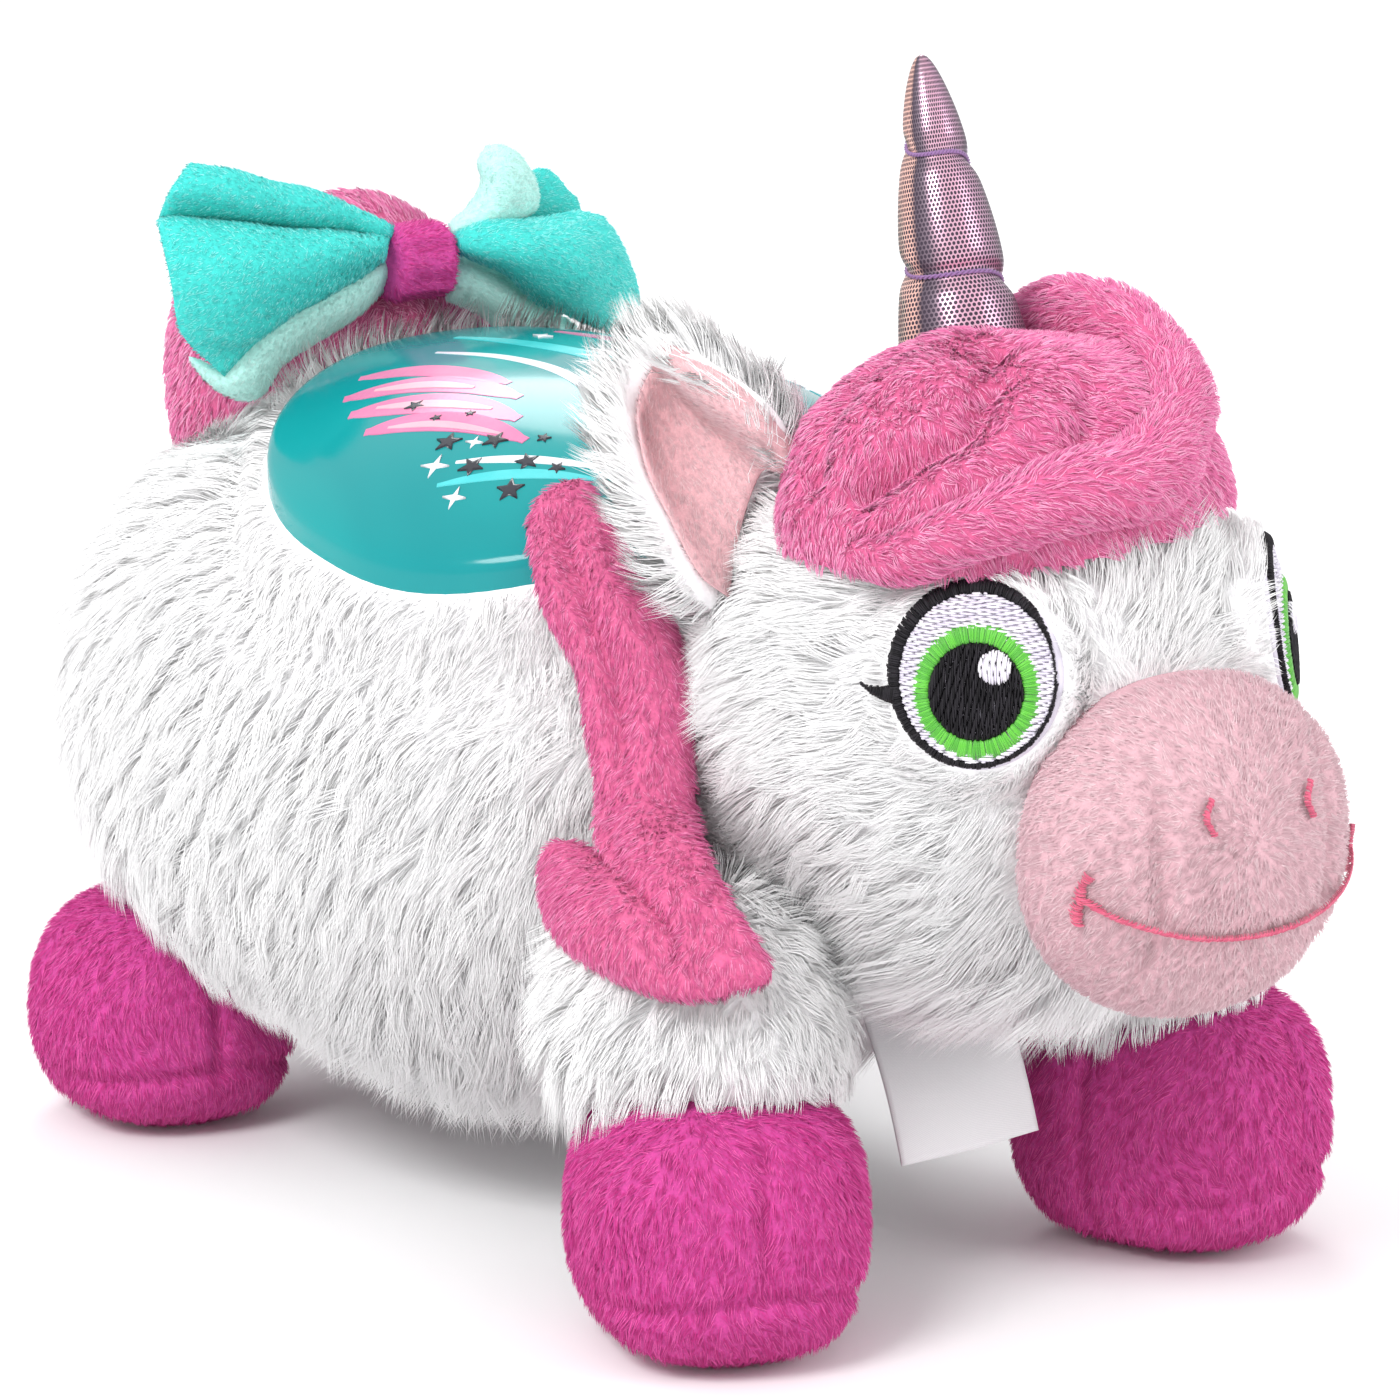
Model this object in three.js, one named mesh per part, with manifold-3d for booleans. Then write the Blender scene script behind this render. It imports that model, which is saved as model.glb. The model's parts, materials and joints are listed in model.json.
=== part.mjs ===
// A stuffed toy unicorn that stands on four padded hooves and carries a night light in its back.
// Millimetres. +X runs from the rump to the muzzle, +Z is up, and +Y is the unicorn's left side.
// The origin is the middle of the bottom of the whole toy, on the surface that it stands on.

import * as THREE from 'three';
import { mergeVertices } from 'three/addons/utils/BufferGeometryUtils.js';
import Module from 'manifold-3d';

const wasm = await Module();
wasm.setup();

// ---------------------------------------------------------------- driving dimensions

const GAP = 0.3;               // space between pieces that touch
const PILE_SKIN = 6;           // backing cloth and long pile together
const SHORT_SKIN = 3;          // short-pile cloth and its seam allowance

const BODY = { centre: [-53, 0, 90], radii: [122, 90, 76], power: 2.2, wide: 24, high: 12 };
const HEAD = { centre: [99, 0, 125], radii: [58, 54, 63], power: 2.15, wide: 20, high: 10 };
const MUZZLE = { centre: [155, 0, 104.7], radii: [23, 36, 33.5], power: 2.2, wide: 16, high: 8 };
const NOD_ROOM = 2.6;          // space round the head that the nod needs in the neck's hollow
const NECK = { radius: 30, long: 60, below: 12 };
const FAR = 300;               // a length past any edge of the toy

const FRONT_HOOF = { centre: [87, 58, 26], radii: [32, 28, 30], power: 2.6, splay: 19 };
const REAR_HOOF = { centre: [-111, 58, 24], radii: [30, 28, 28], power: 2.4, splay: 8 };
const SOLE = { share: 0.58, thick: 2, room: 4 };
const SLEEVE = { centre: [79, 54, 62], radii: [34, 30, 33], wide: 14, high: 7 };

const EYE = { centre: [137, 35, 138], facing: 46, lift: 6 };
const EYE_PATCH = { near: 0.3, far: 1.5, brow: 1 };
const EYE_POST = { long: 60, back: 25 };
// Each ring of an eye fits inside the next: half sizes across and up, and how far up its middle is.
const EYE_RINGS = {
  eye_outline: { thread: 'black_thread', outer: [16.4, 17.4], inner: [14.6, 15.6], up: 0, innerUp: 0 },
  eye_white: { thread: 'white_thread', outer: [14.3, 15.3], inner: [12, 12.4], up: 0, innerUp: -2.2 },
  eye_iris: { thread: 'green_thread', outer: [11.7, 12.1], inner: [8.9, 9.2], up: -2.2, innerUp: -2.2 },
  eye_pupil: { thread: 'black_thread', outer: [8.6, 8.9], up: -2.2 },
};
const NOSTRIL = { spread: 12.3, height: 115.5, radii: [1.3, 1.2, 2.8] };
const MOUTH = { middle: 91.3, rise: 7.5, half: 32, thread: 0.9 };

const EAR = {
  root: [80, 45, 164], radii: [11, 20, 27], power: 2.1, seat: 0.7, wall: 4, cup: 0.55, flex: 12,
};
const RIGHT_EAR = { facing: 35, lean: 18, back: 0 };    // stands up and opens sideways
const LEFT_EAR = { facing: 10, lean: 22, back: 62 };    // has flopped back along the head
const HORN = {
  root: [89, 0, 189], length: 57, radius: 11.9, bulge: 0.56, lean: 14, skin: 1.2, tip: 4, flex: 8,
};
// The thread's turns lie nearly level in front, where they cross at the first height and a pitch
// below it, and drop steeply behind.
const THREAD = { radius: 0.6, facing: -37, first: 37.6, pitch: 23.4, level: 3.75, above: 0.45, below: 1.45 };

const WINDOW = { middle: -24, half: [61, 72], power: 2.3, proud: 5, thick: 2 };
const BASE = { wall: 4, floor: 112, plate: 2.5, lip: 1 };
const BOARD = { size: [84, 34, 1.6], lift: 4, shift: 5, switch: [6, 6, 3.5], solder: 0.2 };
const LAMP = { radius: 2.5, height: 8.6, spacing: 12, shoulder: 0.7 };
const BUTTON = { radius: 6, stem: 2.5, cap: 7, proud: 2, above: 6.7, inset: 9, tilt: 28 };
const BATTERY_BOX = { size: [64, 48, 22], wall: 2.2, room: 1 };
const PILLAR = { side: 6, short: 8 };
const CELL = { length: 44.5, radius: 5.25, pitch: 13.5, shift: -3, raise: 1 };
const POCKET = { size: [70, 54], high: 100 };
const DOOR = { thick: 2 };
const SCREW = { head: 2.8, headHigh: 1.6, shank: 1.4, length: 7, inset: 3.2 };
const FLAP = { thick: 3, room: 1 };

const TAIL = { centre: [-131, 1, 155], radii: [25, 40, 39], root: [-126, 0, 150], flex: 10 };
const BOW = { centre: [-101, 0, 183], wing: [9, 27, 27], knot: [11, 9, 10], reach: 35 };
const WING = { root: 0.3, slim: 0.7, flare: 1.1 };

const FORELOCK = { centre: [108, -5, 160], radii: [39, 45, 36], power: 2.2, brim: 163, slope: 0.1 };
const ROLL = { thin: 3, swell: 6.2, even: 0.8, early: 0.8 };
const ROLL_PATH = [
  [84, 22, 193], [97, 25, 193], [112, 26, 188], [127, 19, 180],
  [143, -2, 173], [143, -20, 171], [137, -36, 166], [127, -46, 160], [117, -50, 159],
];
const MANE = { near: 1, far: 8.5, inner: 20, outer: 100 };
const MANE_EDGE = [
  [17, 152], [25, 158], [37, 153], [51, 148], [67, 140], [89, 120], [103, 100], [115, 86], [114, 76],
  [97, 75], [79, 78], [61, 77], [49, 82], [46, 90], [55, 94], [59, 102], [51, 119], [35, 135], [21, 146],
];
const LABEL = { root: [76, 2, 60], size: [34, 33], thick: 1, hang: 28, drop: 2, flex: 15 };

// ---------------------------------------------------------------- colours

const COLOURS = {
  white_pile: ['#f1eff2', 0.95, 0],
  pink_pile: ['#de5f96', 0.9, 0],
  magenta_pile: ['#c83c91', 0.9, 0],
  muzzle_pile: ['#dfa9b4', 0.9, 0],
  ear_lining: ['#e1afb4', 0.9, 0],
  bow_pile: ['#3cc8be', 0.9, 0],
  horn_foil: ['#c7a3bd', 0.35, 0.6],
  filling: ['#f7f7f5', 1, 0],
  thread: ['#8d5f9c', 0.6, 0],
  mouth_thread: ['#cd4b78', 0.6, 0],
  black_thread: ['#17151a', 0.55, 0],
  white_thread: ['#e4dfec', 0.6, 0],
  green_thread: ['#5fbe32', 0.6, 0],
  window_film: ['#1ea0a5', 0.15, 0],
  plastic: ['#e9e9ea', 0.45, 0],
  board: ['#2d6b44', 0.5, 0],
  steel: ['#b9bcc0', 0.3, 1],
  red_lamp: ['#d8453c', 0.2, 0],
  green_lamp: ['#47b556', 0.2, 0],
  blue_lamp: ['#3f6fd0', 0.2, 0],
  cell: ['#2c2f36', 0.4, 0.3],
  label: ['#f4f4f4', 0.8, 0],
};

// ---------------------------------------------------------------- making and cutting solids

const unicorn = new THREE.Group();

function place(name, colour, geometry) {
  const [color, roughness, metalness] = COLOURS[colour];
  const material = new THREE.MeshStandardMaterial({ color, roughness, metalness });
  const mesh = new THREE.Mesh(geometry, material);
  mesh.name = name;
  unicorn.add(mesh);
}

function solid(geometry) {
  const bare = geometry.clone();
  bare.deleteAttribute('normal');
  bare.deleteAttribute('uv');
  const merged = mergeVertices(bare, 1e-4);
  const vertProperties = new Float32Array(merged.attributes.position.array);
  const triVerts = new Uint32Array(merged.index.array);
  return new wasm.Manifold(new wasm.Mesh({ numProp: 3, vertProperties, triVerts }));
}

// The largest piece of a solid, without the slivers that a cut can leave beside it.
function largest(whole) {
  const pieces = whole.decompose();
  pieces.sort((a, b) => b.volume() - a.volume());
  return pieces[0];
}

function toGeometry(whole) {
  const { vertProperties, triVerts } = largest(whole).getMesh();
  const geometry = new THREE.BufferGeometry();
  geometry.setAttribute('position', new THREE.BufferAttribute(new Float32Array(vertProperties), 3));
  geometry.setIndex(new THREE.BufferAttribute(new Uint32Array(triVerts), 1));
  return geometry;
}

function placeSolid(name, colour, whole) {
  place(name, colour, toGeometry(whole));
}

// A solid of revolution about Z, from points of its outline: distance from the axis, and height.
function turnedProfile(outline, sides) {
  const points = outline.map(([reach, height]) => new THREE.Vector2(reach, height));
  return new THREE.LatheGeometry(points, sides).rotateX(Math.PI / 2);
}

// A round bar along Z, centred on the origin.
function roundBar(radius, length, sides) {
  return new THREE.CylinderGeometry(radius, radius, length, sides).rotateX(Math.PI / 2);
}

function radians(degrees) {
  return THREE.MathUtils.degToRad(degrees);
}

// A rounded, slightly square pad: a ball whose surface follows a power above 2.
function pad({ radii, power = 2, wide = 16, high = 8 }) {
  const ball = new THREE.SphereGeometry(1, wide, high);
  ball.rotateX(Math.PI / 2);
  const corner = ball.attributes.position;
  for (let i = 0; i < corner.count; i += 1) {
    const [x, y, z] = [corner.getX(i), corner.getY(i), corner.getZ(i)];
    const size = (Math.abs(x) ** power + Math.abs(y) ** power + Math.abs(z) ** power) ** (-1 / power);
    corner.setXYZ(i, x * size * radii[0], y * size * radii[1], z * size * radii[2]);
  }
  return ball;
}

function padAt(shape, grow = 0) {
  const radii = shape.radii.map((radius) => radius + grow);
  return solid(pad({ ...shape, radii }).translate(...shape.centre));
}

function boxAt(size, centre) {
  return solid(new THREE.BoxGeometry(...size).translate(...centre));
}

// An outline in X and Y, pushed from one height to another.
function prism(outline, low, high) {
  const sides = { depth: high - low, bevelEnabled: false };
  const geometry = new THREE.ExtrudeGeometry(new THREE.Shape(outline), sides);
  return geometry.translate(0, 0, low);
}

function ovalOutline(halfX, halfY, power = 2, steps = 28) {
  const outline = [];
  for (let i = 0; i < steps; i += 1) {
    const turn = (i / steps) * 2 * Math.PI;
    const [c, s] = [Math.cos(turn), Math.sin(turn)];
    const size = (Math.abs(c) ** power + Math.abs(s) ** power) ** (-1 / power);
    outline.push(new THREE.Vector2(c * size * halfX, s * size * halfY));
  }
  return outline;
}

function turned(whole, pivot, axis, degrees) {
  const there = new THREE.Matrix4().makeTranslation(...pivot);
  const back = new THREE.Matrix4().makeTranslation(...pivot.map((value) => -value));
  const turn = new THREE.Matrix4().makeRotationAxis(new THREE.Vector3(...axis), radians(degrees));
  return whole.transform(there.multiply(turn).multiply(back).toArray());
}

// Cuts a piece back so that it clears an obstacle at rest and at both ends of its swing.
function clearOf(piece, obstacle, pivot, axis, limit) {
  let cut = piece.subtract(obstacle);
  for (const degrees of [-limit, limit]) {
    cut = cut.subtract(turned(obstacle, pivot, axis, degrees));
  }
  return cut;
}

const SIDES = [['right', -1], ['left', 1]];
const across = [0, 1, 0];
const along = [1, 0, 0];

// ---------------------------------------------------------------- shared outer shapes

const bodyOuter = padAt(BODY);
const bodyClear = padAt(BODY, GAP);
const headOuter = padAt(HEAD);
const headSwept = padAt(HEAD, NOD_ROOM);

function windowPrism(inset, low, high) {
  const outline = ovalOutline(WINDOW.half[0] - inset, WINDOW.half[1] - inset, WINDOW.power);
  return solid(prism(outline, low, high).translate(WINDOW.middle, 0, 0));
}

// ---------------------------------------------------------------- legs

function hoofSolid(hoof, side, grow = 0) {
  const radii = hoof.radii.map((radius) => radius + grow);
  const ball = pad({ radii, power: hoof.power, wide: 12, high: 7 }).rotateZ(radians(side * hoof.splay));
  return solid(ball.translate(hoof.centre[0], side * hoof.centre[1], hoof.centre[2]));
}

function soleSolid(hoof, side, grow, high) {
  const halves = hoof.radii.slice(0, 2).map((r) => r * SOLE.share + grow);
  const disc = prism(ovalOutline(...halves, hoof.power, 12), 0, high);
  disc.rotateZ(radians(side * hoof.splay));
  return solid(disc.translate(hoof.centre[0], side * hoof.centre[1], 0));
}

function addLeg(end, hoof, sideName, side) {
  const name = `${end}_${sideName}`;
  const ground = boxAt([2 * FAR, 2 * FAR, FAR], [0, 0, -FAR / 2]);
  const floor = boxAt([2 * FAR, 2 * FAR, FAR], [0, 0, SOLE.thick + GAP - FAR / 2]);
  const cover = hoofSolid(hoof, side)
    .subtract(bodyClear)
    .subtract(ground)
    .subtract(hoofSolid(hoof, side, -SHORT_SKIN))
    .subtract(soleSolid(hoof, side, GAP, SOLE.thick + SOLE.room));
  const filling = hoofSolid(hoof, side, -SHORT_SKIN - GAP).subtract(bodyClear).subtract(floor);
  placeSolid(`${name}_hoof_cover`, 'magenta_pile', cover);
  placeSolid(`${name}_hoof_sole`, 'magenta_pile', soleSolid(hoof, side, 0, SOLE.thick));
  placeSolid(`${name}_leg_filling`, 'filling', filling);
}

function sleevePad(side, grow = 0) {
  const [x, y, z] = SLEEVE.centre;
  return padAt({ ...SLEEVE, centre: [x, side * y, z] }, grow);
}

function addSleeve(sideName, side) {
  const sleeve = sleevePad(side)
    .subtract(bodyClear)
    .subtract(headSwept)
    .subtract(hoofSolid(FRONT_HOOF, side, GAP));
  placeSolid(`front_${sideName}_sleeve`, 'white_pile', sleeve);
}

for (const [sideName, side] of SIDES) {
  addLeg('front', FRONT_HOOF, sideName, side);
  addLeg('rear', REAR_HOOF, sideName, side);
  addSleeve(sideName, side);
}

// ---------------------------------------------------------------- night light in the back

const boxTop = BASE.floor - GAP;
const boxLow = boxTop - BATTERY_BOX.size[2];

// The moulded base is a deep dish. The window rests on a ledge inside its rim.
function addWindow() {
  const under = WINDOW.proud - WINDOW.thick;
  const dome = padAt(BODY, WINDOW.proud).subtract(padAt(BODY, under));
  const window = dome.intersect(windowPrism(BASE.lip + GAP, BASE.floor, FAR)).subtract(buttonHole());
  const ledge = windowPrism(BASE.lip, BASE.floor, FAR).subtract(padAt(BODY, under - GAP));
  const dish = windowPrism(0, BASE.floor, FAR)
    .subtract(windowPrism(BASE.wall, BASE.floor + BASE.plate, FAR))
    .subtract(ledge)
    .intersect(padAt(BODY, WINDOW.proud));
  placeSolid('dome_window', 'window_film', window);
  placeSolid('light_base', 'plastic', dish);
}

const buttonX = WINDOW.middle + WINDOW.half[0] - BASE.wall - BUTTON.inset - BUTTON.radius;

function tiltedPost(radius, low, high) {
  const post = roundBar(radius, high - low, 14).translate(0, 0, (low + high) / 2);
  post.rotateY(radians(BUTTON.tilt));
  return solid(post.translate(buttonX, 0, buttonSeat()));
}

// Height of the window's outer face where the button stands.
function buttonSeat() {
  const [halfX, , halfZ] = BODY.radii.map((radius) => radius + WINDOW.proud);
  const along = Math.abs(buttonX - BODY.centre[0]) / halfX;
  return BODY.centre[2] + halfZ * (1 - along ** BODY.power) ** (1 / BODY.power);
}

function buttonHole() {
  return tiltedPost(BUTTON.radius + 2 * GAP, -BUTTON.cap, BUTTON.cap);
}

function addLamps() {
  const boardZ = BASE.floor + BASE.plate + BOARD.lift;
  const boardX = WINDOW.middle + BOARD.shift;
  const switchX = buttonX - (buttonSeat() - boardZ) * Math.tan(radians(BUTTON.tilt));
  const switchZ = boardZ + (BOARD.size[2] + BOARD.switch[2]) / 2 - BOARD.solder;
  const board = boxAt(BOARD.size, [boardX, 0, boardZ]);
  placeSolid('circuit_board', 'board', board.add(boxAt(BOARD.switch, [switchX, 0, switchZ])));
  const lampFoot = boardZ + BOARD.size[2] / 2 + GAP;
  ['red', 'green', 'blue'].forEach((colour, index) => {
    const { radius, height, shoulder } = LAMP;
    const profile = [
      [0, 0], [radius, 0], [radius, height - radius],
      [radius * shoulder, height - radius * (1 - shoulder)], [0, height],
    ];
    const bulb = turnedProfile(profile, 10);
    bulb.translate(WINDOW.middle - LAMP.spacing, (index - 1) * LAMP.spacing, lampFoot);
    place(`${colour}_lamp`, `${colour}_lamp`, bulb);
  });
  const stemLow = -(buttonSeat() - boardZ - BUTTON.above) / Math.cos(radians(BUTTON.tilt));
  const cap = tiltedPost(BUTTON.radius, BUTTON.proud - BUTTON.cap, BUTTON.proud);
  placeSolid('light_button', 'plastic', cap.add(tiltedPost(BUTTON.stem, stemLow, 0)));
}

function addBatteries() {
  const [long, wide, deep] = BATTERY_BOX.size;
  const middle = (boxTop + boxLow) / 2;
  const outer = boxAt(BATTERY_BOX.size, [WINDOW.middle, 0, middle]);
  const wall = BATTERY_BOX.wall;
  const inner = boxAt([long - 2 * wall, wide - 2 * wall, deep], [WINDOW.middle, 0, middle - wall]);
  const pillarX = WINDOW.middle + (long - PILLAR.side) / 2;
  const pillar = boxAt([PILLAR.side, PILLAR.side, deep - PILLAR.short], [pillarX, 0, middle]);
  const screwX = WINDOW.middle + long / 2 - SCREW.inset;
  const hole = solid(roundBar(SCREW.shank + GAP, deep, 12).translate(screwX, 0, boxLow));
  placeSolid('battery_box', 'plastic', outer.subtract(inner).add(pillar).subtract(hole));
  ['first', 'second', 'third'].forEach((order, index) => {
    const cell = new THREE.CylinderGeometry(CELL.radius, CELL.radius, CELL.length, 14);
    cell.rotateZ(Math.PI / 2);
    cell.translate(WINDOW.middle + CELL.shift, (index - 1) * CELL.pitch, middle + CELL.raise);
    place(`${order}_battery`, 'cell', cell);
  });
  const doorZ = boxLow - GAP - DOOR.thick / 2;
  const door = boxAt([long, wide, DOOR.thick], [WINDOW.middle, 0, doorZ]).subtract(hole);
  placeSolid('battery_door', 'plastic', door);
  const { head, headHigh, shank, length } = SCREW;
  const profile = [[0, 0], [head, 0], [head, headHigh], [shank, headHigh], [shank, length], [0, length]];
  const screw = turnedProfile(profile, 12);
  place('door_screw', 'steel', screw.translate(screwX, 0, doorZ - DOOR.thick / 2 - GAP - headHigh));
}

addWindow();
addLamps();
addBatteries();

// ---------------------------------------------------------------- body, its pocket and its flap

// A square-cornered well up from the floor, under the battery box.
function pocketWell(inset, high) {
  const [long, wide] = POCKET.size.map((length) => length - 2 * inset);
  return boxAt([long, wide, high], [WINDOW.middle, 0, high / 2]);
}

function addBody() {
  const skin = bodyOuter.subtract(padAt(BODY, -PILE_SKIN));
  const cover = skin
    .subtract(headSwept)
    .subtract(windowPrism(-GAP, BODY.centre[2], FAR))
    .subtract(pocketWell(0, POCKET.high / 2));
  placeSolid('body_cover', 'white_pile', cover);
  const lightSpace = windowPrism(-GAP, BASE.floor - GAP, FAR);
  const boxSize = BATTERY_BOX.size.map((length) => length + 2 * (GAP + BATTERY_BOX.room));
  const boxSpace = boxAt(boxSize, [WINDOW.middle, 0, (boxTop + boxLow) / 2]);
  const filling = padAt(BODY, -PILE_SKIN - GAP)
    .subtract(headSwept)
    .subtract(lightSpace)
    .subtract(boxSpace)
    .subtract(pocketWell(0, POCKET.high));
  placeSolid('body_filling', 'filling', filling);
}

function addFlap() {
  const sheet = padAt(BODY, 0).subtract(padAt(BODY, -FLAP.thick));
  placeSolid('belly_flap', 'white_pile', sheet.intersect(pocketWell(FLAP.room, POCKET.high / 2)));
}

addBody();
addFlap();

// ---------------------------------------------------------------- head and muzzle

function addHead() {
  const neck = new THREE.CylinderGeometry(NECK.radius, NECK.radius, NECK.long, 20).rotateZ(Math.PI / 2);
  const neckHole = solid(neck.translate(HEAD.centre[0] - HEAD.radii[0], 0, HEAD.centre[2] - NECK.below));
  const cover = headOuter
    .subtract(padAt(HEAD, -PILE_SKIN))
    .subtract(padAt(MUZZLE, -SHORT_SKIN - GAP))
    .subtract(neckHole);
  placeSolid('head_cover', 'white_pile', cover);
  const filling = padAt(HEAD, -PILE_SKIN - GAP).add(padAt(MUZZLE, -SHORT_SKIN - 2 * GAP));
  placeSolid('head_filling', 'filling', filling);
  const muzzle = padAt(MUZZLE).subtract(padAt(MUZZLE, -SHORT_SKIN)).subtract(padAt(HEAD, GAP));
  placeSolid('muzzle_cover', 'muzzle_pile', muzzle);
}

// A place just off the muzzle's surface, for a given Y and Z.
function onMuzzle(y, z, off) {
  const [halfX, halfY, halfZ] = MUZZLE.radii;
  const [v, w] = [y / halfY, (z - MUZZLE.centre[2]) / halfZ];
  const left = 1 - Math.abs(v) ** MUZZLE.power - Math.abs(w) ** MUZZLE.power;
  const u = Math.max(0.05, left) ** (1 / MUZZLE.power);
  const steep = MUZZLE.power - 1;
  const outward = new THREE.Vector3(
    u ** steep / halfX,
    (Math.sign(v) * Math.abs(v) ** steep) / halfY,
    (Math.sign(w) * Math.abs(w) ** steep) / halfZ).normalize();
  return new THREE.Vector3(MUZZLE.centre[0] + u * halfX, y, z).addScaledVector(outward, off);
}

function addMouth() {
  const points = [];
  const steps = 16;
  for (let i = 0; i <= steps; i += 1) {
    const share = -1 + (2 * i) / steps;
    const height = MOUTH.middle + MOUTH.rise * share ** 2;
    points.push(onMuzzle(share * MOUTH.half, height, MOUTH.thread / 2));
  }
  const path = new THREE.CatmullRomCurve3(points);
  const section = new THREE.Shape(ovalOutline(MOUTH.thread, MOUTH.thread, 2, 5));
  const smile = new THREE.ExtrudeGeometry(section, { steps: 20, extrudePath: path, bevelEnabled: false });
  const thread = solid(smile).subtract(padAt(MUZZLE, GAP)).subtract(padAt(HEAD, GAP));
  placeSolid('smile_stitching', 'mouth_thread', thread);
  for (const [sideName, side] of SIDES) {
    const centre = onMuzzle(side * NOSTRIL.spread, NOSTRIL.height, 0).toArray();
    const stitch = padAt({ centre, radii: NOSTRIL.radii, wide: 6, high: 4 });
    placeSolid(`${sideName}_nostril_stitch`, 'mouth_thread', stitch.subtract(padAt(MUZZLE, GAP)));
  }
}

addHead();
addMouth();

// ---------------------------------------------------------------- eyes

// A post through the head, as wide as one outline of the eye.
function eyePost(side, halves, up) {
  const post = prism(ovalOutline(...halves, 2, 16), -EYE_POST.back, EYE_POST.long - EYE_POST.back);
  post.translate(0, up, 0).rotateX(Math.PI / 2).rotateZ(Math.PI / 2);
  post.rotateY(radians(-EYE.lift)).rotateZ(radians(side * EYE.facing));
  return solid(post.translate(EYE.centre[0], side * EYE.centre[1], EYE.centre[2]));
}

function addEye(sideName, side) {
  const skin = padAt(HEAD, EYE_PATCH.far).subtract(padAt(HEAD, EYE_PATCH.near));
  for (const [name, { thread, outer, inner, up, innerUp }] of Object.entries(EYE_RINGS)) {
    let ring = skin.intersect(eyePost(side, outer, up));
    if (inner) {
      ring = ring.subtract(eyePost(side, inner, innerUp));
    }
    placeSolid(`${sideName}_${name}`, thread, ring.subtract(padAt(MUZZLE, GAP)));
  }
}

SIDES.forEach(([sideName, side]) => addEye(sideName, side));

// ---------------------------------------------------------------- forelock, mane, ears and horn

const hornTurn = new THREE.Matrix4()
  .makeTranslation(...HORN.root)
  .multiply(new THREE.Matrix4().makeRotationY(radians(-HORN.lean)));

// Radius of the horn at a height above its root.
function hornRadius(height) {
  return HORN.radius * Math.max(0, 1 - height / HORN.length) ** HORN.bulge;
}

function hornSolid(inset, low, high) {
  const outline = [[0, low]];
  const steps = 6;
  for (let i = 0; i < steps; i += 1) {
    const height = low + ((high - low) * i) / steps;
    outline.push([hornRadius(height) - inset, height]);
  }
  outline.push([0, high]);
  return solid(turnedProfile(outline, 12).applyMatrix4(hornTurn));
}

function addHorn() {
  const hollow = hornSolid(HORN.skin, -HORN.skin, HORN.length - HORN.tip);
  placeSolid('horn_cover', 'horn_foil', hornSolid(0, 0, HORN.length).subtract(hollow));
  placeSolid('horn_filling', 'filling', hornSolid(HORN.skin + GAP, 0, HORN.length - HORN.tip - 1));
  const points = [];
  const steps = 36;
  for (let i = 0; i <= steps; i += 1) {
    const turns = THREE.MathUtils.lerp(-THREAD.above, THREAD.below, i / steps);
    const turn = radians(THREAD.facing) + turns * 2 * Math.PI;
    const height = THREAD.first - turns * THREAD.pitch + THREAD.level * Math.sin(turns * 2 * Math.PI);
    const reach = hornRadius(height) + THREAD.radius + GAP;
    points.push(new THREE.Vector3(reach * Math.cos(turn), reach * Math.sin(turn), height));
  }
  const section = new THREE.Shape(ovalOutline(THREAD.radius, THREAD.radius, 2, 4));
  const extrudePath = new THREE.CatmullRomCurve3(points);
  const winding = new THREE.ExtrudeGeometry(section, { steps, extrudePath, bevelEnabled: false });
  const clear = hornSolid(-GAP / 3, 0, HORN.length);
  placeSolid('horn_thread', 'thread', solid(winding.applyMatrix4(hornTurn)).subtract(clear));
}

// A strand that swells and thins along a path: rings of points joined by triangles.
function tuftGeometry(path, thickness, steps, sides) {
  const frames = path.computeFrenetFrames(steps, false);
  const corners = [];
  const faces = [];
  for (let i = 0; i <= steps; i += 1) {
    const share = i / steps;
    const centre = path.getPointAt(share);
    for (let j = 0; j < sides; j += 1) {
      const turn = (j / sides) * 2 * Math.PI;
      const point = centre.clone()
        .addScaledVector(frames.normals[i], Math.cos(turn) * thickness(share))
        .addScaledVector(frames.binormals[i], Math.sin(turn) * thickness(share));
      corners.push(point.x, point.y, point.z);
    }
  }
  for (let i = 0; i < steps; i += 1) {
    for (let j = 0; j < sides; j += 1) {
      const [a, b] = [i * sides + j, i * sides + ((j + 1) % sides)];
      faces.push(a, b, b + sides, a, b + sides, a + sides);
    }
  }
  for (const [ring, first] of [[0, true], [steps, false]]) {
    const tip = path.getPointAt(ring / steps);
    const tipIndex = corners.length / 3;
    corners.push(tip.x, tip.y, tip.z);
    for (let j = 0; j < sides; j += 1) {
      const [a, b] = [ring * sides + j, ring * sides + ((j + 1) % sides)];
      faces.push(...(first ? [tipIndex, b, a] : [tipIndex, a, b]));
    }
  }
  const geometry = new THREE.BufferGeometry();
  geometry.setAttribute('position', new THREE.BufferAttribute(new Float32Array(corners), 3));
  geometry.setIndex(faces);
  return geometry;
}

// The rolled edge of the forelock, from behind the horn round the left side to the brow.
function rollSolid(grow) {
  const path = new THREE.CatmullRomCurve3(ROLL_PATH.map((point) => new THREE.Vector3(...point)));
  const thickness = (share) => {
    const swell = Math.sin(Math.PI * share ** ROLL.early) ** ROLL.even;
    return ROLL.thin + ROLL.swell * swell + grow;
  };
  return solid(tuftGeometry(path, thickness, 14, 7));
}

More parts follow.
